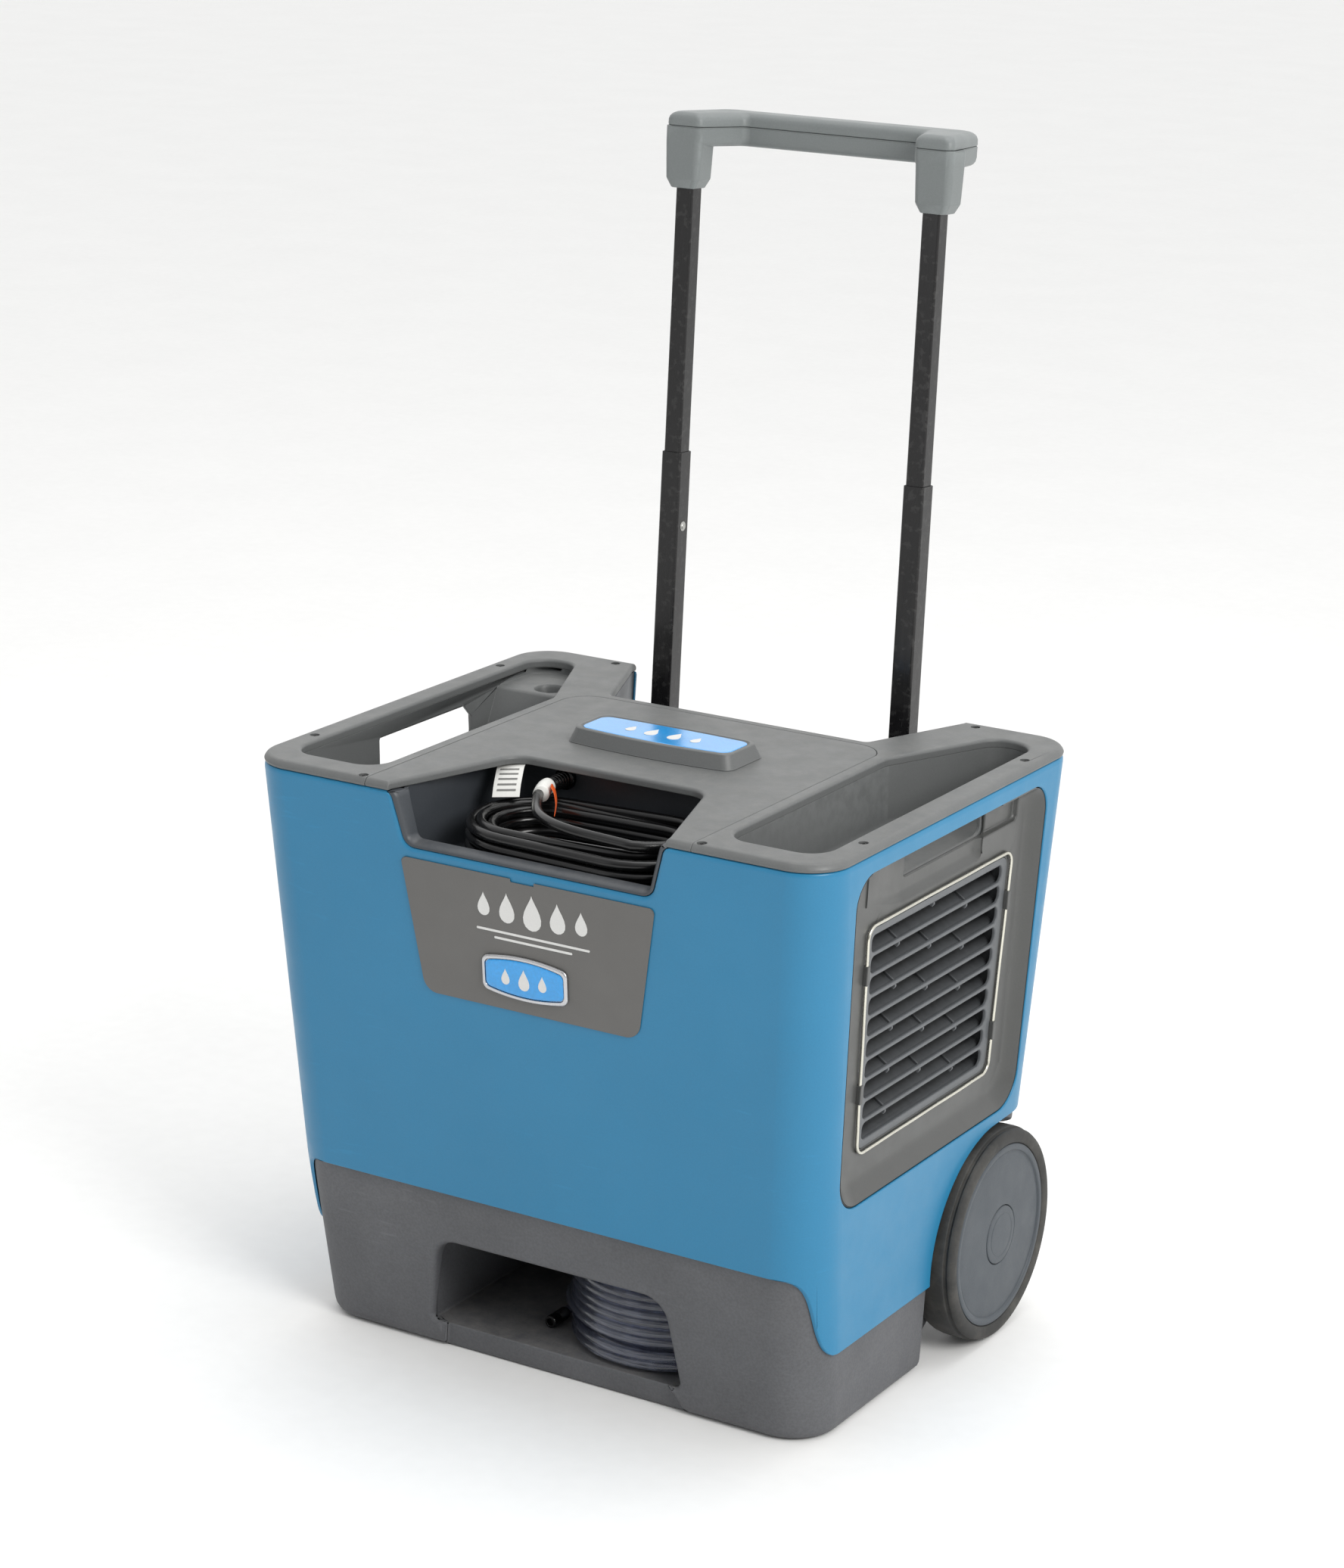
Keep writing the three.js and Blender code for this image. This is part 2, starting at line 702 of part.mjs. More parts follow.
const SLEEVE_TOP = HANDLE_BAY_FLOOR_Z - 3 - HANDLE_Z - 1.2;
const SLEEVE = { side: LOWER_TUBE.side + 5.8, wall: 2.5, from: SLEEVE_TOP - 58, to: SLEEVE_TOP };
const HANDLE_STOCK = [
  ["handle_sleeve_", SLEEVE, "darkGrey"],
  ["lower_tube_", LOWER_TUBE, "gloss"],
  ["upper_tube_", UPPER_TUBE, "gloss"],
];
for (const [side, sign] of SIDES) {
  for (const [name, { side: outside, wall, from, to }, finish] of HANDLE_STOCK) {
    const tube = squareTube(sign * HANDLE_X, outside, outside - 2 * wall, from, to);
    add(name + side, tube, finish, handle);
  }
}
const tieEnd = HANDLE_X - LOWER_TUBE.side / 2 - GAP;
add("lower_cross_tie", box(-tieEnd, tieEnd, -6, 6, LOWER_TUBE.from, LOWER_TUBE.from + 14), "gloss", handle);

// The grip is a U in plan: two posts on the tubes, two arms going back, and a bar.
const gripPlan = (inset) => [
  [150 - inset, -15 + inset, 7],
  [134 - inset, 72 - inset, 15],
  [-134 + inset, 72 - inset, 15],
  [-150 + inset, -15 + inset, 7],
  [-112 - inset, -15 + inset, 7],
  [-92 - inset, 36 + inset, 8],
  [92 + inset, 36 + inset, 8],
  [112 + inset, -15 + inset, 7],
];

function gripPost(sign) {
  const ring = (half, depth, z) =>
    roundedRing(sign * 130.5 - half, sign * 130.5 + half, -depth, depth + 1, 6, z);
  return loft([
    ring(13, 12, GRIP.bottom),
    ring(17.5, 14.2, GRIP.bottom + 8),
    ring(19.3, 14.8, GRIP.barFrom + 4),
    ring(19.3, 14.8, GRIP.split),
  ]);
}

function gripLowerShell() {
  const half = UPPER_TUBE.side / 2 + GAP;
  const sockets = SIDES.map(([, sign]) => {
    const x = sign * HANDLE_X;
    return box(x - half, x + half, -half, half, GRIP.bottom - 5, UPPER_TUBE.to + GAP);
  });
  const band = prism("z", gripPlan(0), GRIP.barFrom + 3, GRIP.split);
  const under = prism("z", gripPlan(3), GRIP.barFrom, GRIP.barFrom + 4);
  return cut(join(band, under, gripPost(-1), gripPost(1)), ...sockets);
}

function gripUpperShell() {
  const band = prism("z", gripPlan(0), GRIP.split + GAP, GRIP.top - 4);
  return join(band, prism("z", gripPlan(2.5), GRIP.top - 4.5, GRIP.top));
}

add("grip_lower_shell", gripLowerShell(), "gripGrey", handle);
add("grip_upper_shell", gripUpperShell(), "gripGrey", handle);

// ---- Rear control panel ----

const buttonX = (i) => (i - (BUTTON_NAMES.length - 1) / 2) * BUTTON.spacing;
const panelOutline = rectangle(-PANEL.half, PANEL.half, PANEL.z0, PANEL.z1, 10);
const panelSkin = skin(280, 420, 0.6, 4);
const panelHoles = BUTTON_NAMES.map((_, i) =>
  cylinder("y", BUTTON.radius + 0.6, 150, 300, buttonX(i), BUTTON.z, 14),
);
add("control_panel", cut(throughRear(panelOutline).intersect(panelSkin), ...panelHoles), "darkGrey");
BUTTON_NAMES.forEach((name, i) => {
  const face = rearY(BUTTON.z);
  const cap = cylinder("y", BUTTON.radius, face - 6, face + 2, buttonX(i), BUTTON.z, 14);
  const flange = cylinder("y", BUTTON.radius + 2, face - 8, face - 5.6, buttonX(i), BUTTON.z, 14);
  add(name + "_button", join(cap, flange), "gripGrey");
});

// ---- Deck and refrigeration parts ----

// The handle tubes and the tie between them pass through the slot at the back of the deck.
function deckPlate() {
  const half = HANDLE_X + 14;
  return cut(cabinet(DECK_Z, DECK_TOP_Z, 5.5), box(-half, half, 170, 300, 200, 230));
}

add("deck_plate", deckPlate(), "steel");

const dripTray = cut(
  box(108, 224, -150, 158, DECK_TOP_Z + GAP, DECK_TOP_Z + 14),
  box(110.5, 221.5, -147.5, 155.5, DECK_TOP_Z + 3, DECK_TOP_Z + 20),
);
add("drip_tray", dripTray, "darkGrey");

const COIL_FLOOR = DECK_TOP_Z + 3 + GAP;
add("condenser_coil", box(118, 158, -140, 150, COIL_FLOOR, 440), "fin");
add("evaporator_coil", box(172, 214, -140, 150, COIL_FLOOR, 440), "fin");
add("air_filter", box(236, 248, -112, 112, 264, 462), "black");

function compressor() {
  const base = DECK_TOP_Z + GAP;
  const points = [
    [0, base + 4],
    [66, base + 4],
    [72, base + 18],
    [72, base + 190],
    [62, base + 210],
    [30, base + 220],
    [0, base + 222],
  ].map(([r, z]) => new THREE.Vector2(r, z));
  const can = new THREE.LatheGeometry(points, 20).rotateX(Math.PI / 2).translate(10, 50, 0);
  const foot = prism("z", [[-75, -25, 12], [95, -25, 12], [10, 128, 12]], base, base + 5);
  return join(solid(can), foot);
}

add("compressor", compressor(), "black");

const HEADER_Y = 150 + 2 * GAP;
const dischargeRoute = [
  [30, 70, 436.5],
  [30, 74, 452],
  [60, 138, 456],
  [108, 166, 440],
  [134, 171, 412],
  [138, 162, 400],
  [138, HEADER_Y, 400],
];
add("discharge_line", bar(dischargeRoute, 4.5, 18), "copper");
const suctionRoute = [
  [192, HEADER_Y, 300],
  [192, 160, 300],
  [184, 172, 302],
  [150, 174, 306],
  [112, 158, 306],
  [99, 110, 302],
  [98, 60, 300],
  [92, 50, 300],
  [83.2, 50, 300],
];
add("suction_line", bar(suctionRoute, 5, 22), "copper");

// ---- Fan ----

function fanShroud() {
  const plate = box(-248, -243, -128, 128, 222, 470);
  const ring = cylinder("x", FAN.radius + 14, -244, -160, 0, FAN.z, 32);
  const duct = cylinder("x", FAN.radius + 10, -270, -150, 0, FAN.z, 32);
  return cut(join(plate, ring), duct);
}

function fanMotor() {
  const shell = cylinder("x", 42, -150, -80, 0, FAN.z, 28);
  const shaft = cylinder("x", 5, -206, -149, 0, FAN.z, 20);
  const feet = box(-150, -84, -30, 30, DECK_TOP_Z + GAP, FAN.z - 30);
  return join(shell, shaft, feet);
}

function fanImpeller() {
  const pieces = [cylinder("x", 32, FAN.x - 22, FAN.x + 22, 0, FAN.z, 16)];
  for (let i = 0; i < FAN.blades; i++) {
    const blade = new THREE.BoxGeometry(2.4, 62, FAN.radius - 26);
    blade.rotateZ(THREE.MathUtils.degToRad(-52)).translate(0, 0, 26 + (FAN.radius - 28) / 2);
    blade.rotateX((i * 2 * Math.PI) / FAN.blades).translate(FAN.x, 0, FAN.z);
    pieces.push(solid(blade));
  }
  const swept = cylinder("x", FAN.radius, FAN.x - 40, FAN.x + 40, 0, FAN.z, 28);
  return cut(join(...pieces).intersect(swept), cylinder("x", 5.6, FAN.x - 60, FAN.x + 60, 0, FAN.z, 12));
}

add("fan_shroud", fanShroud(), "darkGrey");
add("fan_motor", fanMotor(), "steel");
add("fan_impeller", fanImpeller(), "black");

// ---- Condensate pump, float and electrical box ----

const PUMP = { x0: -120, x1: 20, y0: 40, y1: 112, z0: 50, z1: 100 };

function condensatePump() {
  const { x0, x1, y0, y1, z0, z1 } = PUMP;
  const tank = cut(box(x0, x1, y0, y1, z0, z1), box(x0 + 3, x1 - 3, y0 + 3, y1 - 3, z0 + 3, z1 + 5));
  const bridge = box(x0, x0 + 66, y0, y1, z1 - 3, z1);
  const motor = cylinder("z", 26, z1 - 1, z1 + 48, x0 + 33, (y0 + y1) / 2, 24);
  return join(tank, bridge, motor);
}

function pumpFloat() {
  const y = (PUMP.y0 + PUMP.y1) / 2;
  const arm = box(-48, -14, y - 3, y + 3, 84, 88);
  const bob = box(-18, 8, y - 15, y + 15, 72, 90);
  return join(arm, bob);
}

add("condensate_pump", condensatePump(), "black");
add("pump_float", pumpFloat(), "gripGrey");
add("electrical_box", box(-95, 62, 128, 172, 240, 400), "steel");

// ---- Power cord, coiled in the top bay ----

const CORD_PITCH = 2 * CORD_RADIUS + 0.2;
const coilBaseZ = CORD_BAY.floorZ + GAP;
const coilTopZ = coilBaseZ + CORD_COIL.turns * CORD_PITCH;

function cordCoil() {
  const { x, y, halfLength, halfWidth, layers } = CORD_COIL;
  const track = (inset) => {
    const [l, h] = [halfLength - inset, halfWidth - inset];
    return rectangle(x - l, x + l, y - h, y + h, h - 0.1);
  };
  const outer = prism("z", track(0), coilBaseZ, coilTopZ);
  return cut(outer, prism("z", track(layers * CORD_PITCH), coilBaseZ - 5, coilTopZ + 5));
}

const GLAND = { x: -62, y: CORD_BAY.backY - 2.5 - GAP, z: 529, length: 26 };

function cordGland() {
  const points = [
    [0, 0],
    [10, 0],
    [10, 5],
    [8, 6],
    [6.6, GLAND.length],
    [0, GLAND.length],
  ].map(([r, h]) => new THREE.Vector2(r, h));
  const turned = new THREE.LatheGeometry(points, 12).rotateX(Math.PI);
  return solid(turned.translate(GLAND.x, GLAND.y, GLAND.z));
}

const leadStart = GLAND.y - GLAND.length - GAP;
const leadRoute = [
  [GLAND.x, leadStart, GLAND.z],
  [GLAND.x, leadStart - 14, GLAND.z],
  [GLAND.x + 12, leadStart - 40, GLAND.z - 2],
  [GLAND.x + 40, leadStart - 78, GLAND.z - 2],
  [GLAND.x + 82, leadStart - 98, GLAND.z - 2.2],
  [GLAND.x + 120, leadStart - 102, coilTopZ + CORD_RADIUS + 0.6],
];
add("cord_gland", cordGland(), "black");
add("power_cord_lead", bar(leadRoute, CORD_RADIUS, 18), "black");
add("power_cord_coil", cordCoil(), "black");

// The plug lies on the floor of the bay, inside the coil.
function powerPlug() {
  const { x0, x1, halfWidth, height } = PLUG;
  const body = rectangle(x0, x1, CORD_COIL.y - halfWidth, CORD_COIL.y + halfWidth, 6);
  return prism("z", body, coilBaseZ, coilBaseZ + height);
}

add("power_plug", powerPlug(), "black");

// ---- Drain hose, coiled in the base bay ----

const HOSE_PITCH = 2 * HOSE_RADIUS;
const hoseBaseZ = HOSE_BAY.z0 + GAP;

function hoseCoil() {
  const { x, y, outer, layers, turns } = HOSE_COIL;
  const top = hoseBaseZ + turns * HOSE_PITCH;
  const inner = outer - layers * HOSE_PITCH;
  const middle = cylinder("z", inner, hoseBaseZ - 5, top + 5, x, y, 40);
  return cut(cylinder("z", outer, hoseBaseZ, top, x, y, 40), middle);
}

const FITTING = { x: -92, y: HOSE_BAY.y1 - GAP, z: 78, length: 24 };
const hoseStart = FITTING.y - FITTING.length - GAP;
const hoseEnd = HOSE_COIL.x - HOSE_COIL.outer - HOSE_RADIUS - 0.6;
const hoseRoute = [
  [FITTING.x, hoseStart, FITTING.z],
  [FITTING.x, hoseStart - 16, FITTING.z],
  [FITTING.x + 3, hoseStart - 40, FITTING.z - 6],
  [FITTING.x + 20, hoseStart - 62, FITTING.z - 14],
  [hoseEnd - 10, HOSE_COIL.y + 4, FITTING.z - 22],
  [hoseEnd, HOSE_COIL.y - 16, FITTING.z - 26],
];
add("drain_hose_coil", hoseCoil(), "hose");
add("drain_hose_lead", bar(hoseRoute, HOSE_RADIUS, 18), "hose");
const fittingBody = cylinder("y", 8, hoseStart + GAP, FITTING.y, FITTING.x, FITTING.z, 12);
add("drain_hose_fitting", fittingBody, "copper");
const hoseEndX = HOSE_COIL.x - HOSE_COIL.outer - 1.5;
const hoseEndBody = cylinder("y", 6, HOSE_COIL.y - 61, HOSE_COIL.y - 35, hoseEndX, hoseBaseZ + 6, 12);
add("drain_hose_end", hoseEndBody, "black");

// ---- Export, with the origin at the bottom centre of the whole machine ----

const whole = new THREE.Group();
whole.add(machine);
whole.updateMatrixWorld(true);
const extent = new THREE.Box3().setFromObject(machine, true);
machine.position.y = -(extent.min.y + extent.max.y) / 2;

export default whole;
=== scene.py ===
import json
import math

import bmesh
import bpy
from mathutils import Matrix, Vector, noise


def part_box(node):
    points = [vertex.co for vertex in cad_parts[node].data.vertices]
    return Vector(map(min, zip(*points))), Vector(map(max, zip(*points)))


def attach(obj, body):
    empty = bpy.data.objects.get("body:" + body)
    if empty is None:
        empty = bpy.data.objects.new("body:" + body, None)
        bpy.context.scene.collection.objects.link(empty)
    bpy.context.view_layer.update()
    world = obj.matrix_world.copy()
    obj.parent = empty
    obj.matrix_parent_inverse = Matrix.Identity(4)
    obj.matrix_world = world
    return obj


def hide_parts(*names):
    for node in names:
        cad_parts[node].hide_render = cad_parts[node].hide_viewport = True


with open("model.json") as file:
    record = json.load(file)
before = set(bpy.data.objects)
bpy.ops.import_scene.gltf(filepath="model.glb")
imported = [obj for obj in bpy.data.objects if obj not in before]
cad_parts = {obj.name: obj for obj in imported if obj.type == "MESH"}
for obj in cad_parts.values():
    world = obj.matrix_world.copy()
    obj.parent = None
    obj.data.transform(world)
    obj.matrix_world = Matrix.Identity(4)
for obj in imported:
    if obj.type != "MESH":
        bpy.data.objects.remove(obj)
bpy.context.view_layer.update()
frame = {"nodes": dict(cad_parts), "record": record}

# ---- Driving dimensions: millimetres, from the middle of the cabinet, front towards -Y ----

MM = 0.001
lid_low, lid_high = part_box("top_lid")
tyre_low, tyre_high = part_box("tyre_right")
ROW_Y = (lid_low.y + lid_high.y) / 2  # where the middle of the cabinet is in the row frame

GAP = 0.35
HALF_WIDTH = lid_high.x / MM
HALF_DEPTH = (lid_high.y - ROW_Y) / MM
SEAM_Z = lid_low.z / MM - GAP
LID_TOP_Z = lid_high.z / MM
SIDE_TAPER = 0.047
FRONT_TAPER = 0.085
REAR_TAPER = 0.069
SKIRT_Z = 165
SKIRT_TAPER = 0.15
CORNER_RADIUS = 41
CORNER_GROWTH = 0.0166
SHELL_WALL = 3

TUB_INSET = 4
TUB_WALL = 4
TUB_TOP_Z = 210
TILT_START_Y = 45
TILT_SLOPE = 0.554

WHEEL_RADIUS = (tyre_high.z - tyre_low.z) / 2 / MM
WHEEL_Y = ((tyre_high.y + tyre_low.y) / 2 - ROW_Y) / MM
WHEEL_OUTER_X = tyre_high.x / MM
WHEEL_INNER_X = tyre_low.x / MM
HUB_RADIUS = 86
AXLE_RADIUS = 8
WELL_RADIUS = 106
WELL_X = 243

HOSE_RADIUS = 4.25
HOSE_COIL = {"x": 68, "y": -71, "outer": 100}
HOSE_BAY = {"x0": -135, "x1": 182, "y1": 32, "z0": 24, "z1": 116}
FITTING = {"x": -92, "y": 31.65, "z": 78, "length": 24}
HOSE_END = {"x": HOSE_COIL["x"] - HOSE_COIL["outer"] - 1.5, "z": HOSE_BAY["z0"] + GAP + 6}

CORD_RADIUS = 4.75
CORD_PITCH = 9.7
CORD_BAY = {"front_half": 140, "back_half": 128, "front_y": -222, "back_y": -68, "floor_z": 470}
CORD_COIL = {"x": 12, "y": -150, "half_length": 117, "half_width": 65}
COIL_BASE_Z = CORD_BAY["floor_z"] + GAP
COIL_TOP_Z = COIL_BASE_Z + 5 * CORD_PITCH
GLAND = {"x": -62, "y": -70.85, "z": 529, "length": 26}
PLUG = {"x0": -66, "x1": -24, "half_width": 14, "height": 18.6}

LOUVRE = {"z0": 268, "z1": 462, "bottom_half": 116, "top_half": 126, "slots": 10}
WIRE = {"z0": 260, "z1": 471, "low": 124, "high": 134}
HAND_HOLD = {"y0": -66, "y1": 84, "z0": 497, "z1": 531}

HANDLE_X = 129
HANDLE_Y = 207
HANDLE_Z = 547
HANDLE_LEAN = math.atan(0.05)
HANDLE_BAY_FLOOR_Z = 474
LOWER_TUBE = {"side": 21, "from": -152, "to": 223}
UPPER_TUBE = {"side": 18, "from": 153, "to": 522}
GRIP_BOTTOM = 470

PANEL = {"half": 88, "z0": 296, "z1": 404}
PANEL_Z = (PANEL["z0"] + PANEL["z1"]) / 2
BUTTON = {"radius": 7.5, "z": 325, "spacing": 36}
BUTTON_NAMES = ["power", "fan", "purge", "hours"]
LABEL_Z = 424

EYE = (1723.4, -2852.2, 1509.5)  # where the photo was taken from
EYE_YAW, EYE_PITCH, EYE_ROLL = (math.radians(a) for a in (31.07, 16.59, 1.20))
LENS_MM = 88.655

ARC_STEPS = 10
SIDES = [("left", -1), ("right", 1)]


def side_x(z):
    return HALF_WIDTH - SIDE_TAPER * (SEAM_Z - z)


def rear_y(z):
    return HALF_DEPTH - REAR_TAPER * (SEAM_Z - z)


def front_y(z):
    upper = FRONT_TAPER * (SEAM_Z - max(z, SKIRT_Z)) - HALF_DEPTH
    return upper + SKIRT_TAPER * max(0, SKIRT_Z - z)


# ---- Places: each turns drawing millimetres into the row frame's metres ----


def place(x, y, z):
    return Vector((x * MM, y * MM + ROW_Y, z * MM))


def leaning(x, y, z, y0, z0, lean):
    """x, y and z from the point (y0, z0), on axes that lean back by an angle."""
    c, s = math.cos(lean), math.sin(lean)
    return place(x, y0 + y * c + z * s, z0 - y * s + z * c)


def handle_place(x, y, z):
    """z runs up the leaning handle."""
    return leaning(x, y, z, HANDLE_Y, HANDLE_Z, HANDLE_LEAN)


def front_place(x, y, z):
    """x and z lie on the sloping front, with z from the middle of the label."""
    return leaning(x, y, z, front_y(LABEL_Z), LABEL_Z, -math.atan(FRONT_TAPER))


def rear_place(x, y, z):
    """x and z lie on the sloping back, with z from the middle of the control panel."""
    return leaning(x, y, z, rear_y(PANEL_Z), PANEL_Z, math.atan(REAR_TAPER))


# ---- Solid modelling ----


def add(name, data):
    thing = bpy.data.objects.new(name, data)
    bpy.context.scene.collection.objects.link(thing)
    return thing


def body(name, points, faces, where=place):
    mesh = bpy.data.meshes.new(name)
    mesh.from_pydata([where(*p) for p in points], [], faces)
    work = bmesh.new()
    work.from_mesh(mesh)
    bmesh.ops.remove_doubles(work, verts=work.verts, dist=1e-6)
    bmesh.ops.recalc_face_normals(work, faces=work.faces)
    work.to_mesh(mesh)
    work.free()
    return add(name, mesh)


def outline(corners, steps=ARC_STEPS):
    """A closed outline through corners (u, v, radius), each rounded by an arc."""
    points = []
    for i, corner in enumerate(corners):
        here = Vector(corner[:2])
        radius = corner[2] if len(corner) > 2 else 0
        if radius <= 0:
            points.append(here)
            continue
        back = (Vector(corners[i - 1][:2]) - here).normalized()
        ahead = (Vector(corners[(i + 1) % len(corners)][:2]) - here).normalized()
        half = back.angle(ahead) / 2
        reach = radius / math.tan(half)
        centre = here + (back + ahead).normalized() * radius / math.sin(half)
        start = here + back * reach - centre
        end = here + ahead * reach - centre
        sweep = start.angle(end)
        for k in range(steps + 1):
            t = k / steps
            arm = start * math.sin((1 - t) * sweep) + end * math.sin(t * sweep)
            points.append(centre + arm / math.sin(sweep))
    return [(p.x, p.y) for p in points]


def rectangle(u0, u1, v0, v1, radius=0):
    return [(u0, v0, radius), (u1, v0, radius), (u1, v1, radius), (u0, v1, radius)]


def loft(rings, where=place):
    count = len(rings[0])
    faces = [tuple(range(count))[::-1]]
    for level in range(len(rings) - 1):
        for i in range(count):
            a, b = level * count + i, level * count + (i + 1) % count
            faces.append((a, b, b + count, a + count))
    top = (len(rings) - 1) * count
    faces.append(tuple(range(top, top + count)))
    return body("loft", [p for ring in rings for p in ring], faces, where)


AXES = {
    "x": lambda u, v, w: (w, u, v),
    "y": lambda u, v, w: (u, w, v),
    "z": lambda u, v, w: (u, v, w),
}


def layer(axis, flat, w):
    """A flat outline as a ring at w along an axis; w may depend on the point."""
    level = w if callable(w) else lambda u, v: w
    return [AXES[axis](u, v, level(u, v)) for u, v in flat]


def prism(axis, corners, lo, hi, where=place, steps=ARC_STEPS):
    flat = outline(corners, steps)
    return loft([layer(axis, flat, lo), layer(axis, flat, hi)], where)


def block(x0, x1, y0, y1, z0, z1):
    return prism("z", rectangle(x0, x1, y0, y1), z0, z1)


def circle(radius, steps, u=0, v=0):
    turn = [2 * math.pi * k / steps for k in range(steps)]
    return [(u + radius * math.cos(a), v + radius * math.sin(a)) for a in turn]


def turned(axis, profile, u, v, steps=96, where=place):
    """A turned solid round the line (u, v) along an axis; the profile is (radius, along).
    A profile that ends where it starts makes a ring."""
    rings = [layer(axis, circle(max(r, 0.01), steps, u, v), w) for r, w in profile]
    if profile[0] != profile[-1]:
        return loft(rings, where)
    faces = []
    for level in range(len(rings) - 1):
        base, after = level * steps, (level + 1) % (len(rings) - 1) * steps
        for i in range(steps):
            j = (i + 1) % steps
            faces.append((base + i, base + j, after + j, after + i))
    return body("turned", [p for ring in rings[:-1] for p in ring], faces, where)


def rod(axis, radius, lo, hi, u, v, steps=48, where=place):
    return turned(axis, [(radius, lo), (radius, hi)], u, v, steps, where)


def bake(thing):
    """Applies the modifiers."""
    graph = bpy.context.evaluated_depsgraph_get()
    mesh = bpy.data.meshes.new_from_object(thing.evaluated_get(graph))
    thing.modifiers.clear()
    old = thing.data
    thing.data = mesh
    bpy.data.meshes.remove(old)
    return thing


def combine(thing, operation, tools):
    for tool in tools:
        step = thing.modifiers.new("combine", "BOOLEAN")
        step.object = tool
        step.operation = operation
        step.solver = "MANIFOLD"
    bake(thing)
    for tool in tools:
        bpy.data.objects.remove(tool)
    return thing


def cut(thing, *tools):
    return combine(thing, "DIFFERENCE", tools)


def join(thing, *tools):
    return combine(thing, "UNION", tools)


def common(thing, *tools):
    return combine(thing, "INTERSECT", tools)


def mirrored(mesh):
    mesh.transform(Matrix.Diagonal((-1, 1, 1, 1)))
    mesh.flip_normals()
    return mesh


def twin(thing):
    """The mirror image on the other side of the machine."""
    return add(thing.name + "_twin", mirrored(thing.data.copy()))


def merge_flat(work):
    """Merges faces that lie in one plane, and says whether none of them folded over."""
    limit = math.radians(0.3)
    bmesh.ops.dissolve_limit(work, angle_limit=limit, verts=work.verts, edges=work.edges)
    bmesh.ops.connect_verts_concave(work, faces=work.faces)
    work.normal_update()
    pairs = (edge.link_faces for edge in work.edges if len(edge.link_faces) == 2)
    return all(a.normal.dot(b.normal) > -0.99 for a, b in pairs)


def soften(thing, width, segments=3, angle=30):
    """Rounds the edges that are sharper than angle, in degrees."""
    work = bmesh.new()
    work.from_mesh(thing.data)
    bmesh.ops.remove_doubles(work, verts=work.verts, dist=2e-5)
    triangles = work.copy()
    if not merge_flat(work):
        work, triangles = triangles, work
    triangles.free()
    work.to_mesh(thing.data)
    work.free()
    thing.data.shade_smooth()
    if width > 0:
        edge = thing.modifiers.new("edge", "BEVEL")
        edge.width = width * MM
        edge.segments = segments
        edge.limit_method = "ANGLE"
        edge.angle_limit = math.radians(angle)
        edge.use_clamp_overlap = False
        edge.miter_outer = "MITER_ARC"
    normals = thing.modifiers.new("normals", "WEIGHTED_NORMAL")
    normals.keep_sharp = True
    return bake(thing)


def smooth_line(points, per_span=8):
    """A Catmull-Rom curve through the points."""
    p = [Vector(q) for q in points]
    p = [2 * p[0] - p[1]] + p + [2 * p[-1] - p[-2]]
    line = []
    for a, b, c, d in zip(p, p[1:], p[2:], p[3:]):
        for k in range(per_span):
            t = k / per_span
            line.append(0.5 * (2 * b + (c - a) * t + (2 * a - 5 * b + 4 * c - d) * t * t
                               + (3 * b - a - 3 * c + d) * t ** 3))
    return line + [p[-2]]


def tube(line, radius, sides, closed=False, where=place):
    """A mesh tube along points."""
    count = len(line)
    pts = [Vector(p) for p in line]
    rings, up = [], None
    for i, p in enumerate(pts):
        before = pts[i - 1] if i or closed else p
        after = pts[(i + 1) % count] if i + 1 < count or closed else p
        ahead = (after - before).normalized()
        if up is None:
            up = ahead.orthogonal().normalized()
        up = (up - ahead * up.dot(ahead)).normalized()
        across = ahead.cross(up)
        rings.append([p + (up * c + across * s) * radius for c, s in circle(1, sides)])
    points = [tuple(q) for ring in rings for q in ring]
    faces = []
    for level in range(count if closed else count - 1):
        base, nxt = level * sides, ((level + 1) % count) * sides
        for k in range(sides):
            j = (k + 1) % sides
            faces.append((base + k, base + j, nxt + j, nxt + k))
    if not closed:
        faces.append(tuple(range(sides))[::-1])
        faces.append(tuple(range((count - 1) * sides, count * sides)))
    thing = body("tube", points, faces, where)
    thing.data.shade_smooth()
    return thing


# ---- Materials ----


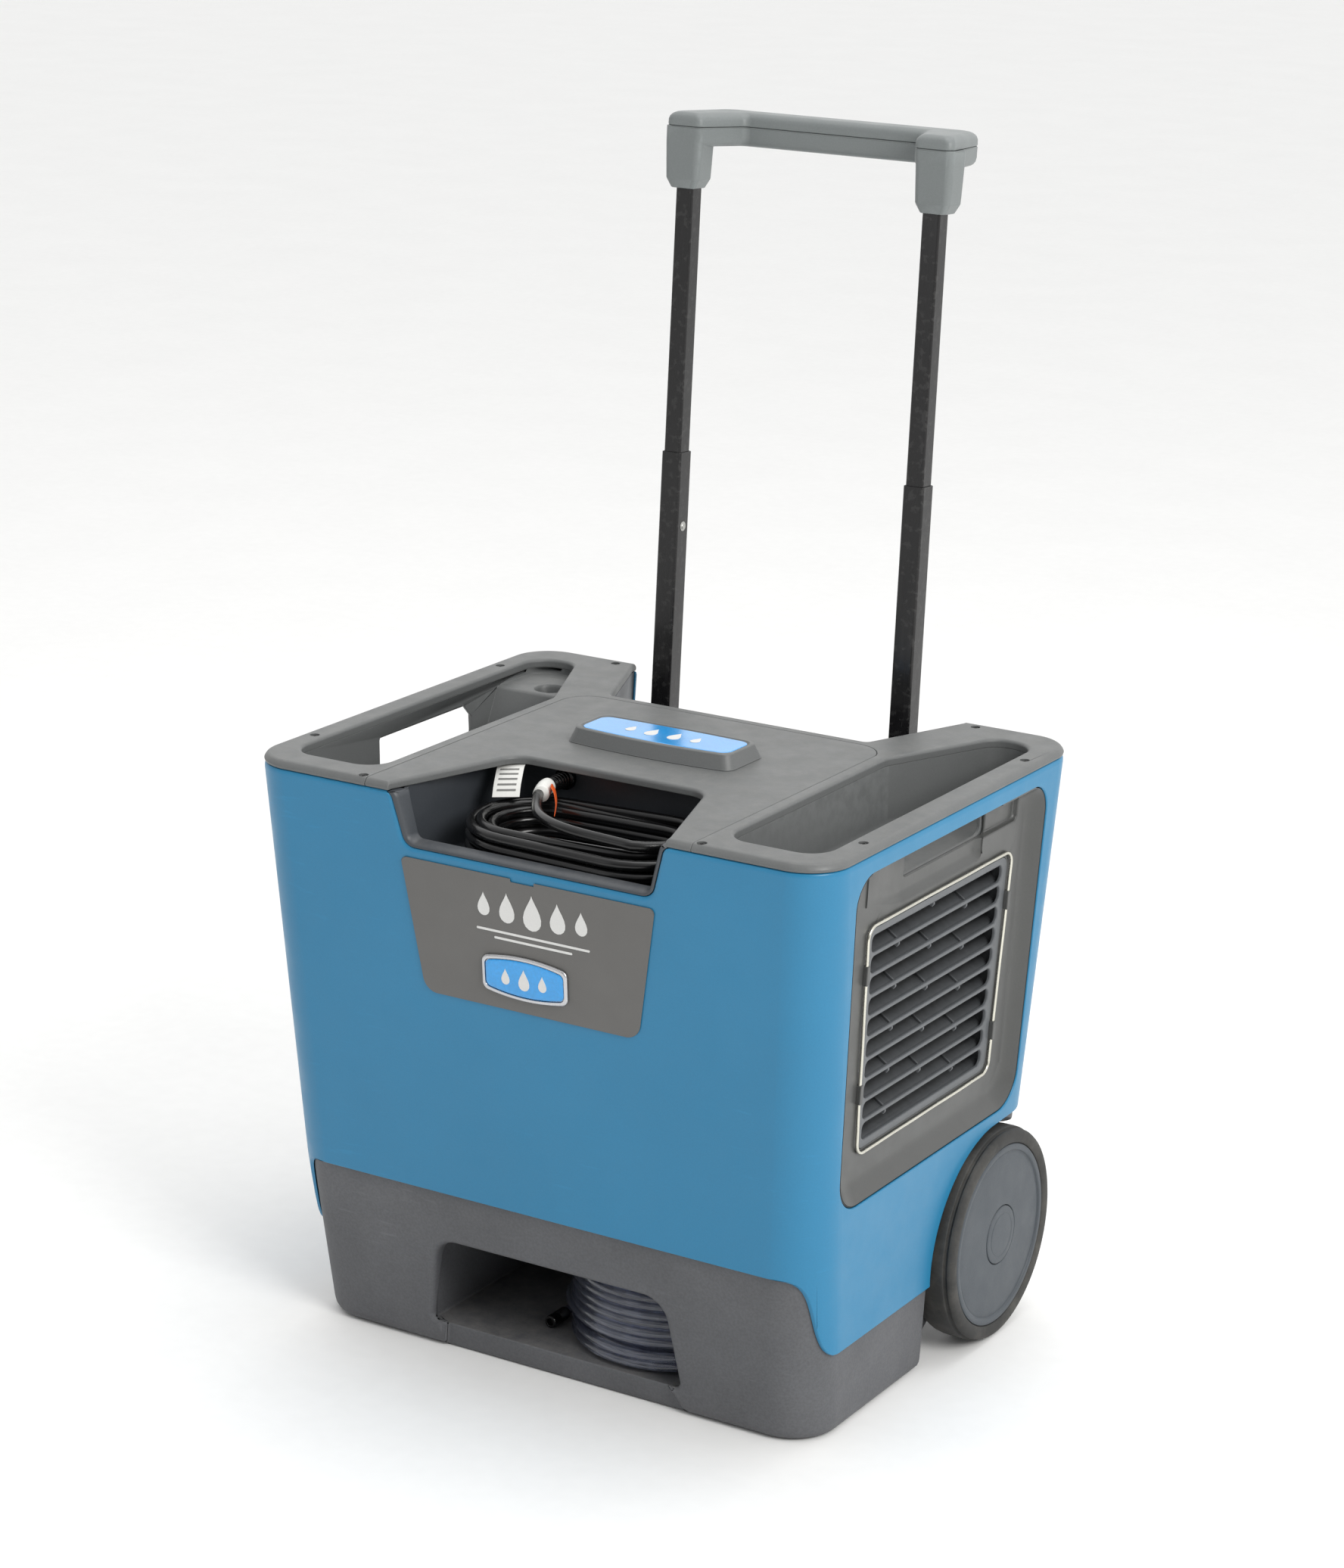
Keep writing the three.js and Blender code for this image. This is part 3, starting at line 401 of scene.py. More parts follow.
class Material:
    """A node material built by small calls."""

    def __init__(self, name):
        self.material = bpy.data.materials.new(name)
        self.material.use_nodes = True
        self.nodes = self.material.node_tree.nodes
        self.links = self.material.node_tree.links
        self.shader = self.nodes["Principled BSDF"]
        self.place = self.nodes.new("ShaderNodeTexCoord").outputs["Object"]

    def node(self, kind, settings=None, **inputs):
        made = self.nodes.new("ShaderNode" + kind)
        for key, value in (settings or {}).items():
            setattr(made, key, value)
        for key, value in inputs.items():
            self.feed(made.inputs[key.replace("_", " ")], value)
        return made

    def feed(self, socket, value):
        if isinstance(value, bpy.types.NodeSocket):
            self.links.new(value, socket)
        else:
            socket.default_value = value

    def set(self, **inputs):
        for key, value in inputs.items():
            self.feed(self.shader.inputs[key.replace("_", " ")], value)

    def noise(self, scale, detail=3, rough=0.55, where=None):
        made = self.node("TexNoise", Scale=scale, Detail=detail, Roughness=rough)
        self.feed(made.inputs["Vector"], where or self.place)
        return made.outputs["Fac"]

    def stretched(self, sx, sy, sz):
        mapping = self.node("Mapping", Vector=self.place, Scale=(sx, sy, sz))
        return mapping.outputs["Vector"]

    def ramp(self, value, lo, hi, to_lo=0.0, to_hi=1.0):
        ends = {"From_Min": lo, "From_Max": hi, "To_Min": to_lo, "To_Max": to_hi}
        return self.node("MapRange", Value=value, **ends).outputs["Result"]

    def mix(self, share, a, b):
        made = self.node("Mix", {"data_type": "RGBA"})
        self.feed(made.inputs[0], share)
        self.feed(made.inputs[6], a)
        self.feed(made.inputs[7], b)
        return made.outputs[2]

    def maths(self, operation, a, b=0.0):
        made = self.node("Math", {"operation": operation})
        self.feed(made.inputs[0], a)
        self.feed(made.inputs[1], b)
        return made.outputs[0]

    def product(self, a, b):
        return self.maths("MULTIPLY", a, b)

    def scaled(self, tone, factor):
        made = self.node("VectorMath", {"operation": "SCALE"}, Vector=tone, Scale=factor)
        return made.outputs["Vector"]

    def bump(self, height, strength, distance):
        made = self.node("Bump", Height=height, Strength=strength, Distance=distance)
        return made.outputs["Normal"]

    def up(self):
        """How far the surface faces up."""
        normal = self.node("NewGeometry").outputs["Normal"]
        return self.node("SeparateXYZ", Vector=normal).outputs["Z"]

    def edges(self, lo=0.52, hi=0.62):
        """1 along outward edges."""
        return self.ramp(self.node("NewGeometry").outputs["Pointiness"], lo, hi)


def shade(colour, factor):
    return tuple(min(1.0, c * factor) for c in colour[:3]) + (1.0,)


def linear(red, green, blue):
    """Screen values from 0 to 255 as a linear colour."""
    def one(c):
        c /= 255
        return c / 12.92 if c <= 0.04045 else ((c + 0.055) / 1.055) ** 2.4
    return (one(red), one(green), one(blue), 1.0)


def plastic(name, colour, rough, grain=(700, 0.12), mottle=0.07, dust=0.0, wear=0.0,
            coat=0.0, scuffs=0.0, clouds=5.0, soot=None):
    """Moulded plastic: soft colour clouds, a fine moulded grain, dust, and edges lightened partly
    by wear and partly as a painted highlight.
    The depth pair for painted shade gives the depths behind the cabinet's side faces where that
    painted shade starts and is darkest."""
    m = Material(name)
    cloud = m.ramp(m.noise(clouds, 4), 0.3, 0.7)
    tone = m.mix(cloud, shade(colour, 1 - mottle), shade(colour, 1 + mottle))
    speck = 0.7 * mottle
    tone = m.scaled(tone, m.ramp(m.noise(grain[0] * 0.8, 2), 0.35, 0.65, 1 - speck, 1 + speck))
    roughness = m.ramp(m.noise(38, 5), 0.3, 0.7, rough - 0.05, rough + 0.07)
    # Lighter edges: partly worn edges, partly a painted highlight where the rounded edges catch the
    # light.
    if wear:
        edge_wear_and_highlight_mask = m.product(m.edges(), m.ramp(m.noise(90, 3), 0.35, 0.6))
        tone = m.mix(m.product(edge_wear_and_highlight_mask, wear), tone, shade(colour, 1.9))
    if scuffs:
        lines = m.ramp(m.noise(26, 2, where=m.stretched(1.0, 1.4, 9.0)), 0.63, 0.72)
        marks = m.product(m.product(lines, m.ramp(m.noise(7, 3), 0.52, 0.66)), scuffs)
        tone = m.mix(marks, tone, shade(colour, 1.7))
        roughness = m.maths("ADD", roughness, m.product(marks, 0.2))
    if dust:
        lying = m.product(m.ramp(m.up(), 0.5, 1.0), m.ramp(m.noise(60, 6, 0.7), 0.35, 0.75))
        lying = m.product(lying, dust)
        tone = m.mix(lying, tone, linear(168, 164, 156))
        roughness = m.maths("ADD", roughness, m.product(lying, 0.3))
    # Painted shade: the colour darkens with depth behind the side faces, standing in for the shadow
    # deep in the louvre slots.
    if soot:
        at = m.node("SeparateXYZ", Vector=m.place)
        face = m.product(m.maths("SUBTRACT", SEAM_Z * MM, at.outputs["Z"]), -SIDE_TAPER)
        face = m.maths("ADD", face, HALF_WIDTH * MM)
        depth = m.maths("SUBTRACT", face, m.maths("ABSOLUTE", at.outputs["X"]))
        depth = m.maths("ADD", depth, m.ramp(m.noise(120, 3), 0.3, 0.7, -0.0008, 0.0008))
        tone = m.scaled(tone, m.ramp(depth, soot[0] * MM, soot[1] * MM, 1.0, 0.06))
    normal = m.bump(m.noise(grain[0], 3, 0.6), grain[1], 0.0004)
    m.set(Base_Color=tone, Roughness=roughness, Normal=normal)
    m.set(Coat_Weight=coat, Coat_Roughness=0.18)
    return m.material


def painted(name, colour, rough, orange_peel=0.05):
    """Gloss paint on steel: orange peel, hazy rubbed streaks and chipped edges."""
    m = Material(name)
    rubbed = m.noise(30, 4, where=m.stretched(6, 6, 0.5))
    tone = m.mix(m.ramp(rubbed, 0.45, 0.75, 0, 0.4), colour, shade(colour, 1.8))
    chip = m.product(m.edges(0.53, 0.6), m.ramp(m.noise(160, 4), 0.55, 0.62))
    tone = m.mix(m.product(chip, 0.3), tone, linear(120, 120, 118))
    roughness = m.ramp(rubbed, 0.35, 0.75, rough, rough + 0.16)
    normal = m.bump(m.noise(420, 2), orange_peel, 0.0004)
    m.set(Base_Color=tone, Roughness=roughness, Normal=normal, Coat_Weight=0.2)
    m.set(Coat_Roughness=0.08, Specular_IOR_Level=0.4)
    return m.material


def metal(name, colour, rough, along=(1, 1, 40), tarnish=0.25):
    """Bare metal with drawing or brushing lines and patches of tarnish."""
    m = Material(name)
    brushed = m.noise(60, 3, where=m.stretched(*along))
    patches = m.ramp(m.noise(18, 5), 0.4, 0.7, 0, tarnish)
    tone = m.mix(patches, colour, shade(colour, 0.55))
    roughness = m.ramp(brushed, 0.3, 0.7, rough, rough + 0.2)
    m.set(Base_Color=tone, Metallic=1.0, Roughness=roughness)
    m.set(Normal=m.bump(brushed, 0.12, 0.0002))
    return m.material


def rubber(name, colour, rough, grain, dust=0.0):
    """Black or grey rubber: matt grain, pale bloom and dust in patches."""
    m = Material(name)
    bloom = m.ramp(m.noise(22, 5, 0.65), 0.45, 0.75, 0, 0.35)
    tone = m.mix(bloom, colour, shade(colour, 1.8))
    if dust:
        patches = m.product(m.ramp(m.noise(14, 6, 0.7), 0.45, 0.7), dust)
        tone = m.mix(patches, tone, linear(120, 116, 108))
    roughness = m.ramp(m.noise(45, 4), 0.3, 0.7, rough - 0.06, rough + 0.08)
    normal = m.bump(m.noise(grain[0], 3), grain[1], 0.0003)
    m.set(Base_Color=tone, Roughness=roughness, Normal=normal)
    return m.material


def clear_vinyl():
    """The hose: bluish clear plastic with cloudy patches and a slightly uneven skin."""
    m = Material("clear_hose")
    cloud = m.ramp(m.noise(30, 3), 0.3, 0.7, 0.0, 1.0)
    tone = m.mix(cloud, linear(168, 174, 196), linear(206, 211, 226))
    m.set(Base_Color=tone, Roughness=m.ramp(m.noise(120, 3), 0.3, 0.7, 0.05, 0.16))
    m.set(Transmission_Weight=0.94, IOR=1.46, Coat_Weight=0.5, Coat_Roughness=0.04)
    m.set(Normal=m.bump(m.noise(90, 2), 0.05, 0.0005))
    return m.material


def finned():
    """A coil's packed aluminium fins, with patches of varying roughness."""
    m = Material("coil_fins")
    wave = m.node("TexWave", {"bands_direction": "Y"}, Vector=m.place, Scale=180.0)
    dents = m.noise(25, 4)
    stripes = m.ramp(wave.outputs["Fac"], 0.2, 0.8)
    tone = m.mix(stripes, linear(70, 72, 75), linear(200, 203, 206))
    m.set(Base_Color=tone, Metallic=0.8, Roughness=m.ramp(dents, 0.3, 0.7, 0.3, 0.5))
    m.set(Normal=m.bump(wave.outputs["Fac"], 0.6, 0.0008))
    return m.material


def filter_foam():
    """Open-celled black foam."""
    m = Material("filter_mesh")
    cells = m.node("TexVoronoi", Vector=m.place, Scale=420.0).outputs["Distance"]
    tone = m.mix(m.ramp(cells, 0.1, 0.5), linear(9, 9, 10), linear(58, 58, 60))
    m.set(Base_Color=tone, Roughness=0.9, Normal=m.bump(cells, 0.8, 0.001))
    return m.material


def finishes(*rows):
    """Makes the materials of rows of (maker, name, colour, rest...)."""
    return {name: make(name, linear(*colour), *rest[:-1], **rest[-1])
            for make, name, colour, *rest in rows}


# Each row's edge value lightens outward edges, partly as wear and partly as a painted highlight.
FINISH = finishes(
    (plastic, "blue_shell", (33, 119, 160), 0.36, (900, 0.05), 0.035,
     {"wear": 0.2, "scuffs": 0.12}),
    (plastic, "base_plastic", (88, 89, 92), 0.62, (520, 0.3), 0.12,
     {"dust": 0.25, "wear": 0.35, "scuffs": 0.4, "clouds": 9}),
    (plastic, "lid_plastic", (97, 99, 99), 0.45, (800, 0.14), 0.05, {"dust": 0.12, "wear": 0.25}),
    (plastic, "bay_plastic", (62, 66, 71), 0.42, (800, 0.12), 0.06, {"dust": 0.1, "wear": 0.2}),
    (plastic, "bezel_plastic", (74, 75, 74), 0.34, (800, 0.08), 0.05, {"dust": 0.1, "wear": 0.2}),
    (plastic, "label_film", (100, 99, 97), 0.6, (1400, 0.06), 0.03, {}),
    (plastic, "badge_enamel", (30, 150, 222), 0.16, (500, 0.02), 0.08, {"coat": 0.8, "clouds": 40}),
    (metal, "bright_wire", (214, 212, 200), 0.16, (1, 1, 1), {}),
    (rubber, "tyre_rubber", (46, 46, 45), 0.72, (700, 0.2), {"dust": 0.3}),
    (plastic, "hub_plastic", (66, 72, 78), 0.5, (700, 0.2), 0.07, {"dust": 0.1, "wear": 0.3}),
    (metal, "zinc_steel", (186, 186, 182), 0.3, {}),
    (painted, "black_tube", (16, 15, 16), 0.2, {}),
    (plastic, "grip_plastic", (116, 121, 121), 0.42, (850, 0.12), 0.05,
     {"dust": 0.06, "wear": 0.2}),
    (plastic, "button_plastic", (150, 152, 152), 0.4, (900, 0.1), 0.04, {}),
    (painted, "black_enamel", (20, 20, 21), 0.35, 0.12, {}),
    (metal, "copper_pipe", (190, 120, 84), 0.25, (1, 1, 1), 0.5, {}),
    (rubber, "cord_rubber", (11, 11, 12), 0.22, (700, 0.05), {}),
    (metal, "brass_fitting", (196, 158, 88), 0.25, (1, 40, 1), 0.4, {}),
)
FINISH.update(coil_fins=finned(), filter_mesh=filter_foam(), clear_hose=clear_vinyl())
DETAIL = finishes(
    (plastic, "tag_paper", (226, 226, 222), 0.6, (900, 0.1), 0.04, {}),
    (plastic, "tag_orange", (226, 92, 30), 0.5, (900, 0.1), 0.06, {}),
    (metal, "badge_silver", (196, 196, 198), 0.22, (40, 1, 1), 0.1, {}),
    # The louvres' depth pair paints shade into the slots, from 15 mm behind the side face to
    # darkest at 27 mm.
    (plastic, "louvre_plastic", (92, 95, 98), 0.45, (800, 0.1), 0.06,
     {"wear": 0.15, "soot": (15, 27)}),
    (plastic, "grey_print", (120, 120, 118), 0.6, (900, 0.1), 0.04, {}),
    (plastic, "pale_print", (214, 214, 212), 0.5, (1200, 0.05), 0.03, {}),
    (plastic, "display_glass", (12, 14, 14), 0.08, (300, 0.02), 0.1, {"coat": 1.0}),
)


def piece(thing, name, slot, rides="chassis", stands_for=(), material=None):
    """Names a finished solid, gives it its material and its body."""
    thing.name = name
    thing.data.materials.clear()
    thing.data.materials.append(material or FINISH[slot])
    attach(thing, rides)
    if stands_for:
        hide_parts(*stands_for)
    return thing


def both_sides(right, name, slot, node=None, rides=None, number=None, detail=None):
    """Places a right-hand solid and its mirror image."""
    for side, thing in (("right", right), ("left", twin(right))):
        full_name = f"{name}_{side}" + (f"_{number}" if number else "")
        piece(thing, full_name, slot, f"{rides}_{side}" if rides else "chassis",
              [f"{node}_{side}"] if node else (), detail and DETAIL[detail])


def print_on(name, slot, flat, axis, back, front, where, edge=0.1):
    """A thin raised print."""
    thing = loft([layer(axis, flat, back), layer(axis, flat, front)], where)
    piece(soften(thing, edge, 2), name, slot, material=DETAIL["pale_print"])


# ---- Camera, light and floor ----


def camera():
    cos, sin = math.cos, math.sin
    back = Vector((sin(EYE_YAW) * cos(EYE_PITCH), -cos(EYE_YAW) * cos(EYE_PITCH), sin(EYE_PITCH)))
    right = Vector((cos(EYE_YAW), sin(EYE_YAW), 0))
    up = back.cross(right)
    turned_right = right * cos(EYE_ROLL) + up * sin(EYE_ROLL)
    turned_up = up * cos(EYE_ROLL) - right * sin(EYE_ROLL)
    data = bpy.data.cameras.new("camera")
    data.lens = LENS_MM
    data.sensor_width = 36
    data.sensor_fit = "AUTO"
    data.clip_end = 100
    eye = add("camera", data)
    matrix = Matrix((turned_right, turned_up, back)).transposed().to_4x4()
    matrix.translation = place(*EYE)
    eye.matrix_world = matrix
    bpy.context.scene.camera = eye


def softbox(name, at, towards, size, power, tint=(1, 1, 1)):
    data = bpy.data.lights.new(name, "AREA")
    data.shape = "RECTANGLE"
    data.size, data.size_y = size
    data.energy = power
    data.color = tint
    lamp = add(name, data)
    lamp.location = at
    lamp.rotation_euler = (Vector(towards) - Vector(at)).to_track_quat("-Z", "Y").to_euler()


def studio():
    """A white room, brightest above and behind the machine, with a soft key from the right."""
    world = bpy.data.worlds.new("studio")
    scene = bpy.context.scene
    scene.world = world
    world.use_nodes = True
    nodes, links = world.node_tree.nodes, world.node_tree.links
    split = nodes.new("ShaderNodeSeparateXYZ")
    links.new(nodes.new("ShaderNodeTexCoord").outputs["Generated"], split.inputs[0])
    lean = nodes.new("ShaderNodeMath")
    lean.operation = "MULTIPLY_ADD"
    links.new(split.outputs["Z"], lean.inputs[0])
    lean.inputs[1].default_value = 0.75
    links.new(split.outputs["Y"], lean.inputs[2])
    ramp = nodes.new("ShaderNodeMapRange")
    links.new(lean.outputs[0], ramp.inputs["Value"])
    ends = {"From Min": -0.7, "From Max": 0.6, "To Min": 0.3, "To Max": 1.12}
    for key, value in ends.items():
        ramp.inputs[key].default_value = value
    sky = nodes["Background"]
    sky.inputs["Color"].default_value = (1.0, 1.0, 1.0, 1.0)
    links.new(ramp.outputs["Result"], sky.inputs["Strength"])
    softbox("key", (2.9, -1.3, 2.5), (0, 0, 0.4), (1.5, 1.5), 74, (1.0, 0.99, 0.97))
    softbox("top", (0.1, 0.6, 3.4), (0, 0, 0.5), (2.0, 2.0), 20)
    softbox("front", (-1.3, -3.4, 1.7), (0, 0, 0.3), (1.2, 2.0), 5, (0.97, 0.98, 1.0))
    scene.view_settings.view_transform = "Standard"
    scene.view_settings.look = "None"
    grid, half = 40, 60.0  # squares each way, and metres to the floor's edge
    spots = [2 * half * k / grid - half for k in range(grid + 1)]
    starts = [j * (grid + 1) + i for j in range(grid) for i in range(grid)]
    floor = body("floor", [(x, y, 0) for y in spots for x in spots],
                 [(a, a + 1, a + grid + 2, a + grid + 1) for a in starts],
                 lambda *point: Vector(point))
    paint = plastic("floor_paint", linear(244, 244, 243), 0.7, (60, 0.02), 0.01)
    floor.data.materials.append(paint)


camera()
studio()


# ---- Cords ----


def curve_cord(name, line, radius, slot, stands_for):
    """A cord as an open curve through closely spaced points."""
    data = bpy.data.curves.new(name, "CURVE")
    data.dimensions = "3D"
    data.bevel_depth = radius * MM
    data.bevel_resolution = 5
    data.use_fill_caps = True
    spline = data.splines.new("POLY")
    spline.points.add(len(line) - 1)
    for point, (x, y, z) in zip(spline.points, line):
        point.co = (*place(x, y, z), 1)
    spline.use_smooth = True
    data.materials.append(FINISH[slot])
    thing = add(name, data)
    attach(thing, "chassis")
    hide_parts(*stands_for)
    length = sum((Vector(b) - Vector(a)).length for a, b in zip(line, line[1:])) * MM
    return thing, length, place(*line[0])


def ease(t):
    t = min(max(t, 0), 1)
    return t * t * (3 - 2 * t)


def stages(turn, steps, pace=ease):
    """A value that holds or moves through steps of (turns, value at the end of the step)."""
    start, value = 0.0, steps[0][1]
    for length, end in steps[1:]:
        if turn <= start + length:
            return value + (end - value) * pace((turn - start) / length)
        start += length
        value = end
    return value


def evenly(t):
    return t


def wander(turn, seed, size):
    """A slow, repeatable drift, so that wound turns don't lie like a spring."""
    return size * noise.noise(Vector((turn * 1.7, seed, 0.5)))


def track_point(turn, inset):
    """A point of the cord coil's racetrack: whole turns start at the middle of the front."""
    half = CORD_COIL["half_length"] - CORD_COIL["half_width"]
    radius = CORD_COIL["half_width"] - inset
    around = 4 * half + 2 * math.pi * radius
    d = (turn % 1) * around
    cx, cy = CORD_COIL["x"], CORD_COIL["y"]
    if d < half:
        return cx + d, cy - radius
    d -= half
    if d < math.pi * radius:
        a = d / radius - math.pi / 2
        return cx + half + radius * math.cos(a), cy + radius * math.sin(a)
    d -= math.pi * radius
    if d < 2 * half:
        return cx + half - d, cy + radius
    d -= 2 * half
    if d < math.pi * radius:
        a = d / radius + math.pi / 2
        return cx - half + radius * math.cos(a), cy + radius * math.sin(a)
    return cx - half + d - math.pi * radius, cy - radius


def power_cord():
    start = GLAND["y"] - GLAND["length"] - GAP
    x, z = GLAND["x"], GLAND["z"]
    lead = [
        (x, start, z),
        (x, start - 14, z),
        (x + 12, start - 40, z - 2),
        (x + 40, start - 78, z - 2),
        (x + 82, start - 98, z - 2.2),
        (x + 120, start - 102, COIL_TOP_Z + CORD_RADIUS + 0.6),
    ]
    top = COIL_TOP_Z - CORD_RADIUS - 0.1
    low = COIL_BASE_Z + CORD_RADIUS + 0.1
    outer = CORD_RADIUS + 0.1
    middle, inner = outer + CORD_PITCH, outer + 2 * CORD_PITCH
    # Down the outer layer, up the middle one and down the inner one, from the right-hand end.
    insets = [(0, 15.8), (0.45, outer), (4.05, outer), (0.3, middle), (3.95, middle),
              (0.3, inner), (4.2, inner)]
    heights = [(0, top + CORD_PITCH), (0.45, top), (4.05, low), (0.3, low), (3.95, top),
               (0.3, top), (4.2, low)]
    total = sum(step[0] for step in insets)
    first = 0.14
    coil = []
    per_turn = 44
    count = int(total * per_turn)
    for i in range(count + 1):
        turn = total * i / count
        fade = ease(turn / 0.4) * ease((total - turn) / 0.4)
        inset = stages(turn, insets) + wander(turn, 3.1, 2.4) * fade
        height = stages(turn, heights, evenly) + wander(turn, 8.7, 2.0) * fade
        coil.append((*track_point(first + turn, inset), height))
    plug_end = PLUG["x1"] - 0.3
    end = [(30, CORD_COIL["y"] + 16, low + 1), (plug_end + 18, CORD_COIL["y"] + 1.5, low + 3),
           (plug_end, CORD_COIL["y"], low + 3.6)]
    line = smooth_line(lead[:-1] + coil[:1], 7)[:-1] + coil
    # The end leaves the inner layer at the back and runs to the plug, inside the coil.
    line = line + smooth_line([coil[-1]] + end, 8)[1:]
    return curve_cord("power_cord", line, CORD_RADIUS, "cord_rubber",
                      ["power_cord_lead", "power_cord_coil"])


def cord_gland():
    g = GLAND
    profile = [(0.5, 0), (9.5, 0), (10.2, 0.6), (10.2, 4.4), (9.4, 5.2), (7.9, 5.8)]
    for i in range(5):
        at = 6.4 + i * 3.8
        slim = 7.7 - i * 0.28
        profile += [(slim, at), (slim, at + 1.9), (slim - 1.1, at + 2.3), (slim - 1.1, at + 3.4)]
    profile += [(6.3, g["length"] - 0.6), (5.6, g["length"]), (0.5, g["length"])]
    return turned("y", [(r, g["y"] - h) for r, h in profile], g["x"], g["z"], 40)


def power_plug():
    """The plug's body, and its two flat pins and round earth pin."""
    y, z0 = CORD_COIL["y"], COIL_BASE_Z
    # How far from the cord's end, half the width, the bottom, the top and the corner radius.
    sections = [(0, 7, 4, 13.6, 3), (1, 8, 3, 14.6, 4), (8, 10, 1.4, 16.6, 5),
                (15, 13.4, 0.4, 18.2, 6), (26, 13.6, 0.3, 18.4, 6), (27, 12.8, 1, 17.6, 6),
                (28, 12.8, 1, 17.6, 6)]
    shell = loft([layer("x", outline(rectangle(y - half, y + half, z0 + low, z0 + high, radius), 6),
                        PLUG["x1"] - along) for along, half, low, high, radius in sections])
    tip, root = PLUG["x0"] + 0.2, PLUG["x1"] - 26
    pins = [block(tip, root, y + dy - 0.75, y + dy + 0.75, z0 + 9.2, z0 + 15.6)
            for dy in (-6.3, 6.3)]
    earth = rod("x", 2.3, tip, root, y, z0 + 5.4, 20)
    return soften(shell, 0.5, 2), [soften(q, 0.3, 2) for q in pins] + [soften(earth, 0.4, 2)]


def drain_hose():
    f = FITTING
    start = f["y"] - f["length"] - GAP
    outer_x = HOSE_COIL["x"] - HOSE_COIL["outer"] - HOSE_RADIUS - 0.6
    lead = [
        (f["x"], start, f["z"]),
        (f["x"], start - 16, f["z"]),
        (f["x"] + 3, start - 40, f["z"] - 6),
        (f["x"] + 20, start - 62, f["z"] - 14),
        (outer_x - 10, HOSE_COIL["y"] + 4, f["z"] - 22),
        (outer_x, HOSE_COIL["y"] - 16, f["z"] - 26),
    ]
    far = HOSE_COIL["outer"] - HOSE_RADIUS - 0.2
    near = far - 2 * HOSE_RADIUS
    low = HOSE_BAY["z0"] + GAP + HOSE_RADIUS + 0.1
    pitch = 2 * HOSE_RADIUS
    top = low + 9 * pitch
    join_z = low + 3 * pitch
    # Up the outer layer from its fourth turn, down the inner one, then round the outer one's foot.
    radii = [(0, far + 8.5), (0.12, far), (6.1, far), (0.3, near), (9.0, near), (0.3, far),
             (2.1, far)]
    heights = [(0, lead[-1][2]), (0.12, join_z), (6.1, top), (0.3, top), (9.0, low), (0.3, low),
               (2.1, low + 2 * pitch)]
    total = sum(step[0] for step in radii)
    first = math.pi + math.asin(16 / (far + 8.5))
    coil = []
    count = int(total * 60)
    for i in range(count + 1):
        turn = total * i / count
        fade = ease(turn / 0.3) * ease((total - turn) / 0.3)
        radius = stages(turn, radii) + wander(turn, 5.3, 1.5) * fade - 0.6 * fade
        height = stages(turn, heights, evenly) + wander(turn, 1.9, 1.6) * fade
        angle = first + 2 * math.pi * turn
        coil.append((HOSE_COIL["x"] + radius * math.cos(angle),
                     HOSE_COIL["y"] + radius * math.sin(angle), height))
        if turn > total - 0.5 and abs((angle % (2 * math.pi)) - math.pi) < 0.1:
            break
    x, y, z = coil[-1]
    end = [(x - 1.2, y - 14, z - 5), (HOSE_END["x"], HOSE_COIL["y"] - 33, HOSE_END["z"] + 1),
           (HOSE_END["x"], HOSE_COIL["y"] - 40, HOSE_END["z"])]
    line = smooth_line(lead[:-1] + coil[:1], 8)[:-1] + coil + smooth_line([coil[-1]] + end, 6)[1:]
    return curve_cord("drain_hose", line, HOSE_RADIUS, "clear_hose",
                      ["drain_hose_lead", "drain_hose_coil"])


def hose_fitting():
    f = FITTING
    profile = [(0.5, 0), (8, 0), (8, 6), (6.4, 6.8)]
    for i in range(4):
        at = 7.5 + i * 4
        profile += [(4.6, at), (6.2, at + 0.6), (4.6, at + 3.6)]
    profile += [(4.2, f["length"]), (0.5, f["length"])]
    barrel = turned("y", [(r, f["y"] - h) for r, h in profile], f["x"], f["z"], 48)
    return soften(barrel, 0.25, 2)


def hose_end():
    root = HOSE_COIL["y"] - 35
    profile = [(0.5, 0), (5.4, 0), (6, 1)]
    for i in range(5):
        at = 3 + i * 2.6
        profile += [(6, at), (5.4, at + 0.5), (5.4, at + 1.6), (6, at + 2.1)]
    profile += [(6, 25), (5.2, 26), (3.4, 26), (3.2, 20), (0.5, 20)]
    barrel = turned("y", [(r, root - h) for r, h in profile], HOSE_END["x"], HOSE_END["z"], 40)
    return soften(barrel, 0.2, 2)


cord, cord_length, cord_exit = power_cord()
gland = soften(cord_gland(), 0.25, 2)
piece(gland, "strain_relief", "cord_rubber", stands_for=["cord_gland"])
plug_body, plug_pins = power_plug()
plug = piece(plug_body, "mains_plug", "cord_rubber", stands_for=["power_plug"])
pins = [piece(pin, f"mains_plug_pin_{i + 1}", "zinc_steel") for i, pin in enumerate(plug_pins)]

hose, hose_length, hose_exit = drain_hose()
barb = piece(hose_fitting(), "hose_barb", "brass_fitting", stands_for=["drain_hose_fitting"])
nozzle = piece(hose_end(), "hose_nozzle", "cord_rubber", stands_for=["drain_hose_end"])


# ---- Cabinet form ----


def cabinet_ring(z, inset, steps=16):
    """The cabinet's outline at a height, moved inwards by inset."""
    level = min(z, SEAM_Z)
    radius = CORNER_RADIUS + CORNER_GROWTH * (SEAM_Z - level) - inset
    x = side_x(level) - inset
    corners = rectangle(-x, x, front_y(level) + inset, rear_y(level) - inset, max(radius, 2))
    return layer("z", outline(corners, steps), z)


def cabinet(z0, z1, inset):
    levels = [z0, SKIRT_Z, z1] if z0 < SKIRT_Z < z1 else [z0, z1]
    return loft([cabinet_ring(z, inset) for z in levels])


def side_place(depth, y, z):
    """depth is measured inwards from the right-hand face of the cabinet."""
    return place(side_x(z) - depth, y, z)


